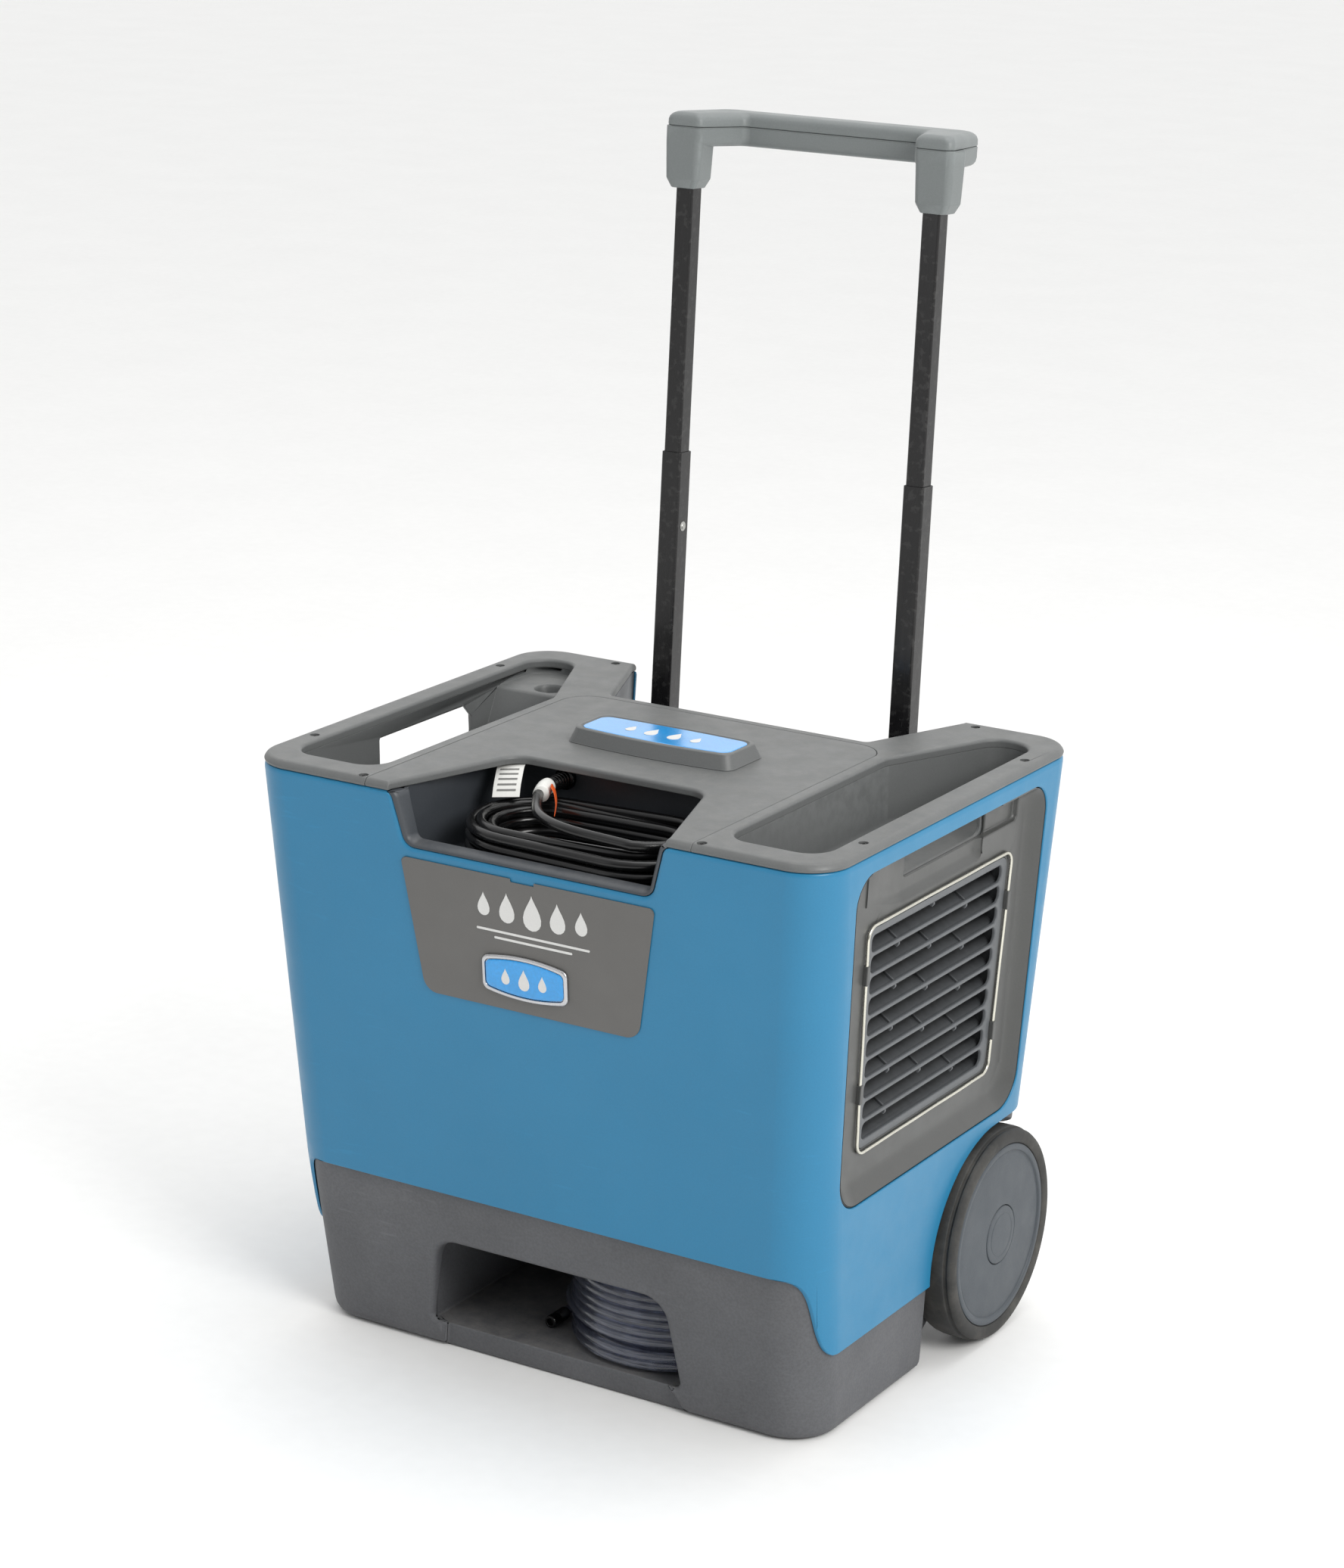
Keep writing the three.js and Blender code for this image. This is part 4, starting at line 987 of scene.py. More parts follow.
def flared(corners, axis, surface, outward, reach, depth, growth, steps=ARC_STEPS):
    """A cutter through a wall, with a rounded mouth; corners(grow) gives its outline."""
    stations = [(-reach, 0), (-depth, 0)]
    for k in range(1, 7):
        a = math.radians(15 * k)
        stations.append((depth * (math.sin(a) - 1), growth * (1 - math.cos(a))))
    stations.append((15, growth))
    rings = []
    for along, grow in stations:
        flat = outline(corners(grow), steps)
        rings.append(layer(axis, flat, lambda u, v, a=along: surface(u, v) + outward * a))
    return loft(rings)


def front_flared(corners, *sizes, inset=0):
    return flared(corners, "y", lambda x, z: front_y(z) + inset, -1, *sizes)


def right_flared(corners, *sizes):
    return flared(corners, "x", lambda y, z: side_x(z), 1, *sizes)


def rear_flared(corners, *sizes):
    return flared(corners, "y", lambda x, z: rear_y(z), 1, *sizes)


def top_flared(corners, *sizes):
    return flared(corners, "z", lambda x, y: LID_TOP_Z, 1, *sizes)


def grown(u0, u1, v0, v1, radius):
    """A rounded rectangle that can grow, for flared."""
    return lambda g: rectangle(u0 - g, u1 + g, v0 - g, v1 + g, radius + g)


# ---- Outlines shared by pieces that meet ----


def recess_outline(inset):
    """The wide window in each side, drawn in (y, z)."""
    i = inset
    return [(-167 + 0.8 * i, 219 + i, 34), (167 - 0.8 * i, 219 + i, 34),
            (179 - i, 527 - i, 28), (-179 + i, 527 - i, 28)]


def louvre_outline(grow, radius=9):
    low, high = LOUVRE["bottom_half"] + grow, LOUVRE["top_half"] + grow
    z0, z1 = LOUVRE["z0"] - grow, LOUVRE["z1"] + grow
    return [(-low, z0, radius), (low, z0, radius), (high, z1, radius), (-high, z1, radius)]


def notch_outline(inset):
    """The notch in the top of the front wall, drawn in (x, z)."""
    i = inset
    level = SEAM_Z + 0.4 + max(i, 0)
    return [(-126 + i, 494.5 + i, 13 - i), (126 - i, 494.5 + i, 13 - i),
            (139.5 - i, level, 9.5 + i), (190, level), (190, 570), (-190, 570), (-190, level),
            (-139.5 + i, level, 9.5 + i)]


def pocket_outline(inset):
    """The pocket in each side of the lid, drawn in (x, y)."""
    i = inset
    return [(175 + i, -205 + i, 26), (273 - i, -205 + i, 26), (273 - i, 202 - i, 26),
            (226 + 0.6 * i, 202 - i, 20), (175 + i, 84 - 0.2 * i, 20)]


def handle_bay_outline(grow):
    g = grow
    return [(-137 - g, 120 - g, 8), (137 + g, 120 - g, 8), (180 + g, 228), (180 + g, 300),
            (-180 - g, 300), (-180 - g, 228)]


def cover_outline(grow):
    g = grow
    return [(-166 - g, -300), (166 + g, -300), (166 + g, 110 + g, 30), (-166 - g, 110 + g, 30)]


def bay_mouth(grow):
    g = grow
    return [(-141 - g, -300), (141 + g, -300), (141 + g, -229), (98 + g, -97 + g, 22 + g),
            (-98 - g, -97 + g, 22 + g), (-141 - g, -229)]


# ---- Base tub ----


def wheel_well(grow):
    radius = WELL_RADIUS + grow
    drum = rod("x", radius, WELL_X - grow, 330, WHEEL_Y, WHEEL_RADIUS, 96)
    return join(drum, block(WELL_X - grow, 330, WHEEL_Y - radius, 330, -10, WHEEL_RADIUS))


def tilt_clearance(grow):
    """The wedge under the back of the base, which leaves room to tilt the machine."""
    y0, y1 = TILT_START_Y - 30, 320
    rise = lambda y: (y - TILT_START_Y) * TILT_SLOPE + grow
    return prism("x", [(y0, -20), (y1, -20), (y1, rise(y1)), (y0, rise(y0))], -330, 330)


def hose_bay(grow, y0):
    b = HOSE_BAY
    corners = rectangle(b["x0"] - grow, b["x1"] + grow, y0, b["y1"] + grow, 10 + grow)
    return prism("z", corners, b["z0"] - grow, b["z1"] + grow)


def pair(thing):
    return [thing, twin(thing)]


def base_tub():
    foot = [(0, 15), (0.7, 11.4), (2.4, 8.2), (4.8, 5.8), (8, 4.5), (12, TUB_INSET),
            (SKIRT_Z, TUB_INSET), (TUB_TOP_Z, TUB_INSET)]
    outer = loft([cabinet_ring(z, inset) for z, inset in foot])
    cavity = cut(cabinet(TUB_WALL, TUB_TOP_Z + 10, TUB_INSET + TUB_WALL),
                 *pair(wheel_well(TUB_WALL)), tilt_clearance(TUB_WALL), hose_bay(TUB_WALL, -300),
                 block(-165, 165, -300, front_y(0) + 18, -10, 70))
    mouth = front_flared(
        lambda g: [(-133 - g, 26 - g, 6 + g), (133 + g, 26 - g, 6 + g),
                   (120 + g, 112 + g, 24 + g), (-120 - g, 112 + g, 24 + g)],
        70, 6, 5, inset=TUB_INSET)
    sill = front_flared(
        lambda g: [(-114 - g, 46, 12), (104 + g, 46, 12), (146 + g, -12), (-122 - g, -12)],
        5.2, 3.6, 8, inset=TUB_INSET)
    bore = rod("x", AXLE_RADIUS + 0.6, -260, 260, WHEEL_Y, WHEEL_RADIUS)
    cut(outer, *pair(wheel_well(0)), tilt_clearance(0), cavity,
        hose_bay(0, front_y(30) + 9.6), mouth, sill, bore)
    return soften(outer, 2.2, 4, 35)


piece(base_tub(), "base_shell", "base_plastic", stands_for=["base_tub"])


# ---- Housing ----


def below_shell():
    """Everything under the shell's lower edge, drawn in (y, z): high across the front,
    down round the front corners, level along the sides, over the wheels."""
    arch_z, radius, level = 99, 108, 84
    bend = [Vector(p) for p in ((-203, SKIRT_Z), (-176, SKIRT_Z), (-180, level), (-148, level))]
    flat = [(-300, SKIRT_Z)]
    for k in range(17):
        t = k / 16
        p = (bend[0] * (1 - t) ** 3 + bend[1] * 3 * t * (1 - t) ** 2
             + bend[2] * 3 * t * t * (1 - t) + bend[3] * t ** 3)
        flat.append((p.x, p.y))
    start = math.pi + math.asin((arch_z - level) / radius)
    for k in range(33):
        angle = start + (math.pi / 2 - start) * k / 32
        flat.append((WHEEL_Y + radius * math.cos(angle), arch_z + radius * math.sin(angle)))
    flat += [(300, 212), (300, -20), (-300, -20)]
    return loft([layer("x", flat, -350), layer("x", flat, 350)])


def housing_shell():
    top = [(SEAM_Z - 5, 0), (SEAM_Z - 2.5, 0.3), (SEAM_Z - 1, 1), (SEAM_Z, 2)]
    shell = loft([cabinet_ring(z, inset) for z, inset in [(75, 0), (SKIRT_Z, 0), *top]])
    cut(shell, cabinet(70, SEAM_Z + 5, SHELL_WALL), below_shell(),
        front_flared(lambda g: notch_outline(-g), 30, 2.6, 4.6),
        *pair(right_flared(lambda g: recess_outline(-g), 30, 1.6, 1.2)),
        rear_flared(grown(-179, 179, HANDLE_BAY_FLOOR_Z - 3 - GAP, 560, 0.5), 30, 1.4, 1.2),
        rear_flared(grown(-PANEL["half"] - GAP, PANEL["half"] + GAP, PANEL["z0"] - GAP,
                          PANEL["z1"] + GAP, 10), 30, 1.4, 1.2))
    return soften(shell, 0.9, 3, 35)


piece(housing_shell(), "cabinet_shell", "blue_shell", stands_for=["housing_shell"])


# ---- Lid and cover ----


def lid_form():
    levels = [(SEAM_Z + GAP, 1.6), (SEAM_Z + 0.9, 0.6), (SEAM_Z + 3, 0), (LID_TOP_Z - 3.2, 0.9),
              (LID_TOP_Z - 1.3, 2.4), (LID_TOP_Z - 0.4, 3.8), (LID_TOP_Z, 6)]
    return loft([cabinet_ring(z, inset, 20) for z, inset in levels])


SCREWS = [(282, 150), (282, -150), (172, -227.4), (195.7, 222)]


def top_lid():
    lid = lid_form()
    holes = [rod("z", 4.4, LID_TOP_Z - 3.4, LID_TOP_Z + 5, sign * x, y, 24)
             for x, y in SCREWS for _, sign in SIDES]
    cut(lid, top_flared(cover_outline, 20, 0.9, 0.8),
        *pair(top_flared(lambda g: pocket_outline(2.5 - g), 20, 3, 3)),
        top_flared(handle_bay_outline, 20, 2.2, 2.2), *holes)
    return soften(lid, 0.4, 2, 35)


def top_cover():
    edge = outline(cover_outline(-GAP), 16)
    slab = loft([layer("z", edge, z) for z in (SEAM_Z - 5, LID_TOP_Z + 5)])
    cover = common(lid_form(), slab)
    cut(cover, top_flared(bay_mouth, 20, 3.4, 3.2))
    return soften(cover, 0.9, 3, 35)


piece(top_lid(), "lid", "lid_plastic", stands_for=["top_lid"])
piece(top_cover(), "lid_cover", "lid_plastic", stands_for=["top_cover"])


def screw(x, y):
    z = LID_TOP_Z - 3.2
    profile = [(4, z - 3), (4, z + 0.9), (3.7, z + 1.6), (2.7, z + 2.1), (0.01, z + 2.3)]
    head = turned("z", profile, x, y, 32)
    cut(head, block(x - 0.45, x + 0.45, y - 2, y + 2, z + 1, z + 4),
        block(x - 2, x + 2, y - 0.45, y + 0.45, z + 1.02, z + 4.1))
    return soften(head, 0.15, 2)


for side, sign in SIDES:
    for number, (x, y) in enumerate(SCREWS, 1):
        piece(screw(sign * x, y), f"lid_screw_{side}_{number}", "black_enamel")


# ---- Side pockets ----


def pocket_tray(with_step):
    """with_step raises the back end in a steep step with a groove in it."""
    levels = [(486.5, 12), (487.2, 8.6), (488.6, 6), (491, 4.5), (494.5, 3.6), (SEAM_Z, 2.5),
              (LID_TOP_Z, 2.5)]
    steps = 12
    tray = prism("z", pocket_outline(0), 484, SEAM_Z + 0.2, steps=steps)
    hollow = loft([layer("z", outline(pocket_outline(inset), steps), z) for z, inset in levels])
    h = HAND_HOLD
    grip_hole = [(h["y0"], h["z0"], 5), (h["y1"], h["z0"], 8), (h["y1"], h["z0"] + 20, 5),
                 (h["y1"] - 14, h["z1"], 5), (h["y0"], h["z1"], 4)]
    cut(tray, hollow, prism("x", grip_hole, 262, 290))
    if with_step:
        step = prism("x", [(98, 480), (128, 537, 5), (210, 537), (210, 480)], 190, 275)
        common(step, prism("z", pocket_outline(0.6), 480, 560, steps=steps))
        groove = turned("z", [(9, 500), (11, 506), (14, 534), (19, 542)], 224, 150, 32)
        join(tray, cut(step, groove))
    return soften(tray, 0.6, 3, 35)


left_tray = pocket_tray(True)
mirrored(left_tray.data)
piece(pocket_tray(False), "pocket_right", "lid_plastic", stands_for=["pocket_tray_right"])
piece(left_tray, "pocket_left", "lid_plastic", stands_for=["pocket_tray_left"])


# ---- Handle bay ----


def bay_liner():
    wall, floor = 2.5, HANDLE_BAY_FLOOR_Z
    liner = prism("z", handle_bay_outline(wall), floor - 3, SEAM_Z - GAP)
    common(liner, cabinet(floor - 10, SEAM_Z - GAP, SHELL_WALL + GAP))
    half = LOWER_TUBE["side"] / 2 + 1.4
    y = HANDLE_Y - (HANDLE_Z - floor) * math.tan(HANDLE_LEAN)
    holes = [prism("z", rectangle(x - half, x + half, y - half, y + half, 2), floor - 9, floor + 9)
             for x in (-HANDLE_X, HANDLE_X)]
    cut(liner, prism("z", handle_bay_outline(0), floor, SEAM_Z + 5), *holes)
    return soften(liner, 0.8, 3)


piece(bay_liner(), "handle_bay", "bay_plastic", stands_for=["handle_bay_liner"])


# ---- Cord bay ----


def cord_tray():
    b = CORD_BAY
    top = SEAM_Z - GAP

    def plan(side, front, radius):
        f, k = b["front_half"] - side, b["back_half"] - side
        y0, y1 = b["front_y"] + front, b["back_y"] - side
        return [(-f, y0, radius), (f, y0, radius), (k, y1, 25 - side), (-k, y1, 25 - side)]

    tray = prism("z", plan(0, 0, 12), b["floor_z"] - 2.5, top)
    lip = common(prism("y", notch_outline(GAP), -300, b["front_y"] + 4), cabinet(470, top, 0.9))
    join(tray, lip)
    levels = [(b["floor_z"], 6), (b["floor_z"] + 1.2, 4), (b["floor_z"] + 4, 2.6), (LID_TOP_Z, 2.5)]
    hollow = loft([layer("z", outline(plan(side, side + 3.2, 9), 10), z) for z, side in levels])
    cut(tray, hollow, front_flared(lambda g: notch_outline(5.4 - g), 60, 12, 4.2, inset=0.9))
    return soften(tray, 0.7, 3, 35)


piece(cord_tray(), "cord_bay", "bay_plastic", stands_for=["cord_bay_tray"])


# ---- Badges and label ----


def bowed(x0, x1, v0, v1, radius, front_bow, back_bow):
    """A rounded rectangle whose long edges bulge."""
    flat = []
    ring = outline(rectangle(x0, x1, v0, v1, radius), 8)
    for i, (x, v) in enumerate(ring):
        nx, nv = ring[(i + 1) % len(ring)]
        count = 24 if abs(nx - x) > (x1 - x0) / 2 else 1
        for k in range(count):
            flat.append((x + (nx - x) * k / count, v + (nv - v) * k / count))
    middle, half = (x0 + x1) / 2, (x1 - x0) / 2
    out = []
    for x, v in flat:
        bulge = 1 - ((x - middle) / half) ** 2
        t = (v - v0) / (v1 - v0)
        out.append((x, v + bulge * (t * back_bow - (1 - t) * front_bow)))
    return out


def drop_outline(u, v, size):
    """A drop shape of the given height, with its point up."""
    flat = []
    for c, s in circle(1, 20):
        pinch = ((1 + s) / 2) ** 1.6
        flat.append((u + 0.36 * size * c * (1 - pinch), v + 0.5 * size * s))
    return flat


def plinth_ring(inset, above):
    i = inset
    flat = bowed(i - 86, 86 - i, i - 36, 24 - i, 9, 6 - 0.1 * i, 2.4)
    return layer("z", flat, LID_TOP_Z + GAP + above)


def plinth():
    form = loft([plinth_ring(*step) for step in (
        (-0.6, 0), (0, 0.6), (3.6, 10.6), (4.2, 12.6), (5.2, 13.4), (6.4, 13.6))])
    well = loft([plinth_ring(*step) for step in ((8.6, 12.2), (8.2, 12.6), (7.6, 13.2), (7, 15))])
    return soften(cut(form, well), 0.4, 3, 35)


def plinth_insert():
    insert = loft([plinth_ring(*step) for step in ((9, 12.3), (9, 12.8), (10, 13.2))])
    return soften(insert, 0.2, 2)


piece(plinth(), "top_plinth", "lid_plastic", stands_for=["badge_plinth"])
piece(plinth_insert(), "top_plinth_badge", "badge_enamel")
for number, (x, size) in enumerate([(-34, 16), (-12, 21), (12, 21), (34, 16)], 1):
    z = LID_TOP_Z + GAP + 13.1
    print_on(f"top_plinth_print_{number}", "badge_enamel", drop_outline(x, -7, size),
             "z", z, z + 0.45, place, 0.12)


def label():
    corners = [(-110, -62, 15), (110, -62, 15), (130, 62, 5), (-130, 62, 5)]
    plate = prism("y", corners, -GAP - 1.1, -GAP, front_place, 14)
    tab = prism("y", [(-15.5, 59, 1), (8.5, 59, 1), (9.5, 70), (-16.5, 70)], -6, 6, front_place)
    return soften(cut(plate, tab), 0.3, 2)


def front_print(name, flat, y=-GAP - 1.1):
    print_on(name, "label_film", flat, "y", y, y - 0.3, front_place)


piece(label(), "front_label", "label_film", stands_for=["label_plate"])
for number, (x, size) in enumerate([(-44, 22), (-20, 28), (6, 33), (32, 28), (56, 22)], 1):
    front_print(f"front_label_drop_{number}", drop_outline(x, 34, size))
for number, (x0, x1, z) in enumerate([(-52, 64, 10.5), (-34, 46, 4.5)], 1):
    ruled = outline(rectangle(x0, x1, z - 1.1, z + 1.1, 1.05), 5)
    front_print(f"front_label_line_{number}", ruled)


def badge_form(*steps):
    """A bowed shape through steps of (inset, how far it stands out)."""
    rings = []
    for inset, out in steps:
        flat = bowed(inset - 47, 41 - inset, inset - 44.5, -13.5 - inset, 5.5 - 0.4 * inset, 5, 5)
        rings.append(layer("y", flat, -GAP - 1.5 - out))
    return loft(rings, front_place)


def badge_frame():
    rim = badge_form((0, 0), (0, 1.4), (0.5, 2.3), (1.3, 2.8), (2.2, 2.8))
    return soften(cut(rim, badge_form((3.6, 1.2), (3.3, 2.2), (2.6, 5))), 0.25, 2, 35)


def badge_face():
    return soften(badge_form((4, 1.3), (4, 2), (5, 2.5), (8, 3)), 0.2, 2, 35)


piece(badge_frame(), "front_badge_rim", "badge_enamel", stands_for=["front_badge"],
      material=DETAIL["badge_silver"])
piece(badge_face(), "front_badge_face", "badge_enamel")
for number, (x, size) in enumerate([(-22, 15), (-3, 20), (16, 15)], 1):
    front_print(f"front_badge_print_{number}", drop_outline(x, -29, size), -GAP - 4.4)


# ---- Side recesses: bezel, louvres, wire loop ----


def side_bezel():
    """A frame round the louvres, dished from its rim, with the hand-hold over them."""
    dish = [(24, 12), (19, 11.7), (15, 10.4), (11, 8.2), (7, 5.2), (4, 2.6), (2.3, 1.3),
            (1.2, 0.8), (1.2, -15)]

    def ring(inset, depth):
        i = inset
        low, high = 34 - 0.4 * i, 28 - 0.4 * i
        corners = [(-167 + 0.8 * i, 219 + i, low), (167 - 0.8 * i, 219 + i, low),
                   (179 - i, 527 - 0.5 * i, high), (-179 + i, 527 - 0.5 * i, high)]
        return layer("x", outline(corners, 14), depth)

    bezel = prism("x", recess_outline(0.5), 0.8, 15, side_place, 14)
    join(bezel, block(273.3, 282, -142, 146, 472, 536))
    field = prism("x", louvre_outline(5.3, 12), -20, 40, side_place)
    cut(bezel, loft([ring(*step) for step in dish], side_place), field)
    return soften(cut(bezel, *hand_scoops()), 1.2, 3, 38)


def hand_scoops():
    """The sunken hand-hold over the louvres, which a ramp leads into from the front,
    a second hollow behind it, and the opening into the pocket."""
    def section(y, share, end=0.0):
        deep, low = 12 + 4.4 * share - end, 489 - 11.5 * share + end
        slope = [(12 + (deep - 12) * part, low + rise)
                 for part, rise in ((0, 0), (0.35, 2), (0.8, 5.5), (1, 9))]
        corners = [(-8, low - 1), (10.5, low - 0.6), *slope, (deep, 531), (-8, 531)]
        return [(depth, y, z) for depth, z in corners]

    rings = [section(-139 + 5 * k, 0.02 + 0.98 * ease(k / 14)) for k in range(15)]
    rings += [section(y, 1, end) for y, end in ((0, 0), (66, 0), (70, 0.4), (73, 1.4), (75, 3.2))]
    y0, y1, z0, z1 = (HAND_HOLD[key] for key in ("y0", "y1", "z0", "z1"))
    corners = [(y0, z0, 5), (y1 + 3, z0, 6), (y1 + 3, z1 - 3, 4), (y0, z1 - 3, 4)]
    hole = prism("x", corners, 262, 300)
    behind = []
    for depth, grow in ((-8, 2), (10.5, 1.4), (12, 0.4), (13, 0), (16, -0.8), (17, -2)):
        corners = rectangle(62 - grow, 142 + grow, 497 - grow, 524 + grow, 6)
        behind.append(layer("x", outline(corners, 6), depth))
    return loft(rings, side_place), loft(behind, side_place), hole


def louvre_slot(half, z0, z1):
    """A slot's cutter, widening to the front."""
    rings = []
    for depth, grow in ((10, 1.4), (12, 1.2), (12.5, 0.5), (13.2, 0.1), (20, 0)):
        corners = rectangle(-half - grow, half + grow, z0 - grow, z1 + grow, 6.5)
        rings.append(layer("x", outline(corners, 8), depth))
    return loft(rings, side_place)


def bar_across(section, y0, y1):
    """A bar with a section in (depth, z), from y0 to y1."""
    return loft([[(depth, y, z) for depth, z in section] for y in (y0, y1)], side_place)


def louvre_panel():
    """Ten slots with curved blades that rise inwards, in a plate at the recess floor."""
    plate = prism("x", louvre_outline(5, 12), 12, 15.4, side_place)
    count, base = LOUVRE["slots"], LOUVRE["z0"]
    pitch = (LOUVRE["z1"] - base) / count

    def half_at(row):
        return LOUVRE["bottom_half"] + (LOUVRE["top_half"] - LOUVRE["bottom_half"]) * row / count

    cut(plate, *[louvre_slot(half_at(row + 0.5) - 4, base + row * pitch + 1.9,
                             base + (row + 1) * pitch - 1.9) for row in range(count)])
    front = [(13.4, 0.2), (17, 1.4), (21, 3.4), (25.5, 6.6), (30.5, 11.4), (35.5, 17.6), (38.5, 22)]
    blade = front + [(depth + 1.6, rise - 1.8) for depth, rise in reversed(front)]
    parts = []
    for row in range(count + 1):
        z, half = base + row * pitch - 2.1, half_at(row) + 3
        parts.append(bar_across([(depth, z + rise) for depth, rise in blade], -half, half))
    for row in range(1, count + 1):
        z = base + row * pitch
        rib = [(13.6, z - 0.5), (13.6, z - 5), (15.5, z - 7.5), (28, z - 1), (28, z + 9)]
        parts += [bar_across(rib, y - 1.1, y + 1.1) for y in ((-68, 58) if row % 2 else (-7,))]
    rail = cut(prism("x", louvre_outline(5, 12), 15, 29.3, side_place),
               prism("x", louvre_outline(1, 8), 10, 35, side_place))
    for part in [rail] + parts:
        join(plate, part)
    return soften(plate, 0.35, 2, 40)


def wire_side(z):
    """How far the wire's upright runs from the middle at a height."""
    w = WIRE
    return w["low"] + (w["high"] - w["low"]) * (z - w["z0"]) / (w["z1"] - w["z0"])


def wire_loop():
    """A slightly uneven loop of bright wire."""
    low, high, z0, z1 = (WIRE[key] for key in ("low", "high", "z0", "z1"))
    flat = outline([(-low, z0, 12), (low, z0, 12), (high, z1, 12), (-high, z1, 12)], 8)
    line = []
    for i, (y, z) in enumerate(flat):
        ny, nz = flat[(i + 1) % len(flat)]
        count = max(1, round(math.hypot(ny - y, nz - z) / 12))
        for k in range(count):
            py, pz = y + (ny - y) * k / count, z + (nz - z) * k / count
            line.append((9.9 + 0.5 * noise.noise(Vector((py * 0.02, pz * 0.02, 3.7))), py, pz))
    return tube(line, 1.6, 10, True, side_place)


def wire_clip(y, z):
    clip = prism("x", rectangle(y - 2.6, y + 2.6, z - 9, z + 9, 1.6), 7.6, 12.6, side_place)
    return soften(clip, 0.9, 3)


both_sides(side_bezel(), "recess", "bezel_plastic", "side_bezel")
both_sides(louvre_panel(), "louvres", "bay_plastic", "louvre_grille", detail="louvre_plastic")
both_sides(wire_loop(), "wire_loop", "bright_wire", "wire_frame")
for number, (way, z) in enumerate([(-1, 428), (-1, 318), (1, 300), (1, 424)], 1):
    both_sides(wire_clip(way * wire_side(z), z), "wire_clip", "bezel_plastic", number=number)


# ---- Wheels ----


def on_wheel(profile, steps=128):
    return turned("x", profile, WHEEL_Y, WHEEL_RADIUS, steps)


def tyre():
    w = WHEEL_INNER_X
    seat = HUB_RADIUS + 0.2
    profile = [(seat, w + 0.8), (90, w), (95, w + 0.5), (98, w + 2.8), (99.6, w + 6.5),
               (100.5, w + 12), (100.9, w + 20), (101, w + 29), (100.8, w + 32), (100.3, w + 33),
               (98.3, w + 33.4), (97.6, w + 34), (97.6, w + 35.2), (98.4, w + 35.8),
               (99.2, w + 36.6), (99, w + 38.6), (97.8, w + 40.6), (95.6, w + 41.7),
               (92.6, w + 42), (89.4, w + 41.6), (87.2, w + 40.6), (seat, w + 39.4),
               (seat, w + 0.8)]
    return soften(on_wheel(profile), 0.25, 2, 40)


def hub():
    w, inner, bore = WHEEL_OUTER_X, WHEEL_INNER_X + 1, AXLE_RADIUS + 0.5
    profile = [(bore, inner), (50, inner), (54, inner + 8), (76, inner + 8), (80, inner),
               (HUB_RADIUS, inner), (HUB_RADIUS, w - 2.6), (85.3, w - 1.7), (83.6, w - 1.3),
               (81, w - 1.4), (79.9, w - 2), (79.3, w - 3.2), (78.3, w - 3.4), (77.4, w - 2.9),
               (70, w - 2.3), (50, w - 1.7), (28.9, w - 1.3), (28.3, w - 1.9), (28.1, w - 4.6),
               (bore, w - 4.6), (bore, inner)]
    return soften(on_wheel(profile), 0.3, 2, 40)


def hub_cap():
    w = WHEEL_OUTER_X
    profile = [(0.01, w - 4.2), (27.4, w - 4.2), (27.7, w - 3.8), (27.7, w - 1.9),
               (27.1, w - 1.1), (25.6, w - 0.8), (21.4, w - 0.6), (20.8, w - 0.9),
               (20.2, w - 0.9), (19.6, w - 0.5), (0.01, w - 0.1)]
    return soften(on_wheel(profile, 96), 0.15, 2, 40)


both_sides(tyre(), "tread", "tyre_rubber", "tyre", "wheel")
both_sides(hub(), "hub", "hub_plastic", "wheel_hub", "wheel")
both_sides(hub_cap(), "axle_cover", "hub_plastic", "hub_cap", "wheel")
axle_end = WHEEL_OUTER_X - 5
axle = rod("x", AXLE_RADIUS, -axle_end, axle_end, WHEEL_Y, WHEEL_RADIUS)
piece(soften(axle, 1, 2), "axle", "zinc_steel", stands_for=["wheel_axle"])


# ---- Handle ----


def square_tube(x, outside, inside, lo, hi, radius):
    a, b = outside / 2, inside / 2
    tube_ = prism("z", rectangle(x - a, x + a, -a, a, radius), lo, hi, handle_place, 6)
    bore = prism("z", rectangle(x - b, x + b, -b, b, radius / 2), lo - 5, hi + 5, handle_place, 6)
    return soften(cut(tube_, bore), 0.35, 2)


def snap_mark(x, facing):
    """A spring button in its hole, on the tube's inner face."""
    face = x - facing * LOWER_TUBE["side"] / 2
    steps = [(4.6, -1.2), (4.6, 0.25), (4.2, 0.5), (3.4, 0.5), (3.2, 0.4), (2.4, 1.3), (0.01, 1.6)]
    profile = [(radius, face - facing * out) for radius, out in steps]
    return soften(turned("x", profile, 0, 152, 28, handle_place), 0.1, 2)


for side, sign in SIDES:
    x = sign * HANDLE_X
    low, up = LOWER_TUBE, UPPER_TUBE
    lower = square_tube(x, low["side"], low["side"] - 2.2, low["from"], low["to"], 2.6)
    upper = square_tube(x, up["side"], up["side"] - 3, up["from"], up["to"], 2.2)
    piece(lower, "lower_stage_" + side, "black_tube", "handle_lower", ["lower_tube_" + side])
    piece(upper, "upper_stage_" + side, "black_tube", "handle_upper", ["upper_tube_" + side])
    piece(snap_mark(x, sign), "snap_button_" + side, "zinc_steel", "handle_lower")


def grip_plan(inset):
    """A U in plan: two posts on the tubes, two arms going back, and a bar."""
    i = inset
    return [(150 - i, -15 + i, 7), (134 - i, 72 - i, 15), (-134 + i, 72 - i, 15),
            (-150 + i, -15 + i, 7), (-112 - i, -15 + i, 7), (-92 - i, 36 + i, 8),
            (92 + i, 36 + i, 8), (112 + i, -15 + i, 7)]


def grip_form(*steps):
    """The grip's plan lofted through steps of (z, inset)."""
    rings = [layer("z", outline(grip_plan(inset), 8), z) for z, inset in steps]
    return loft(rings, handle_place)


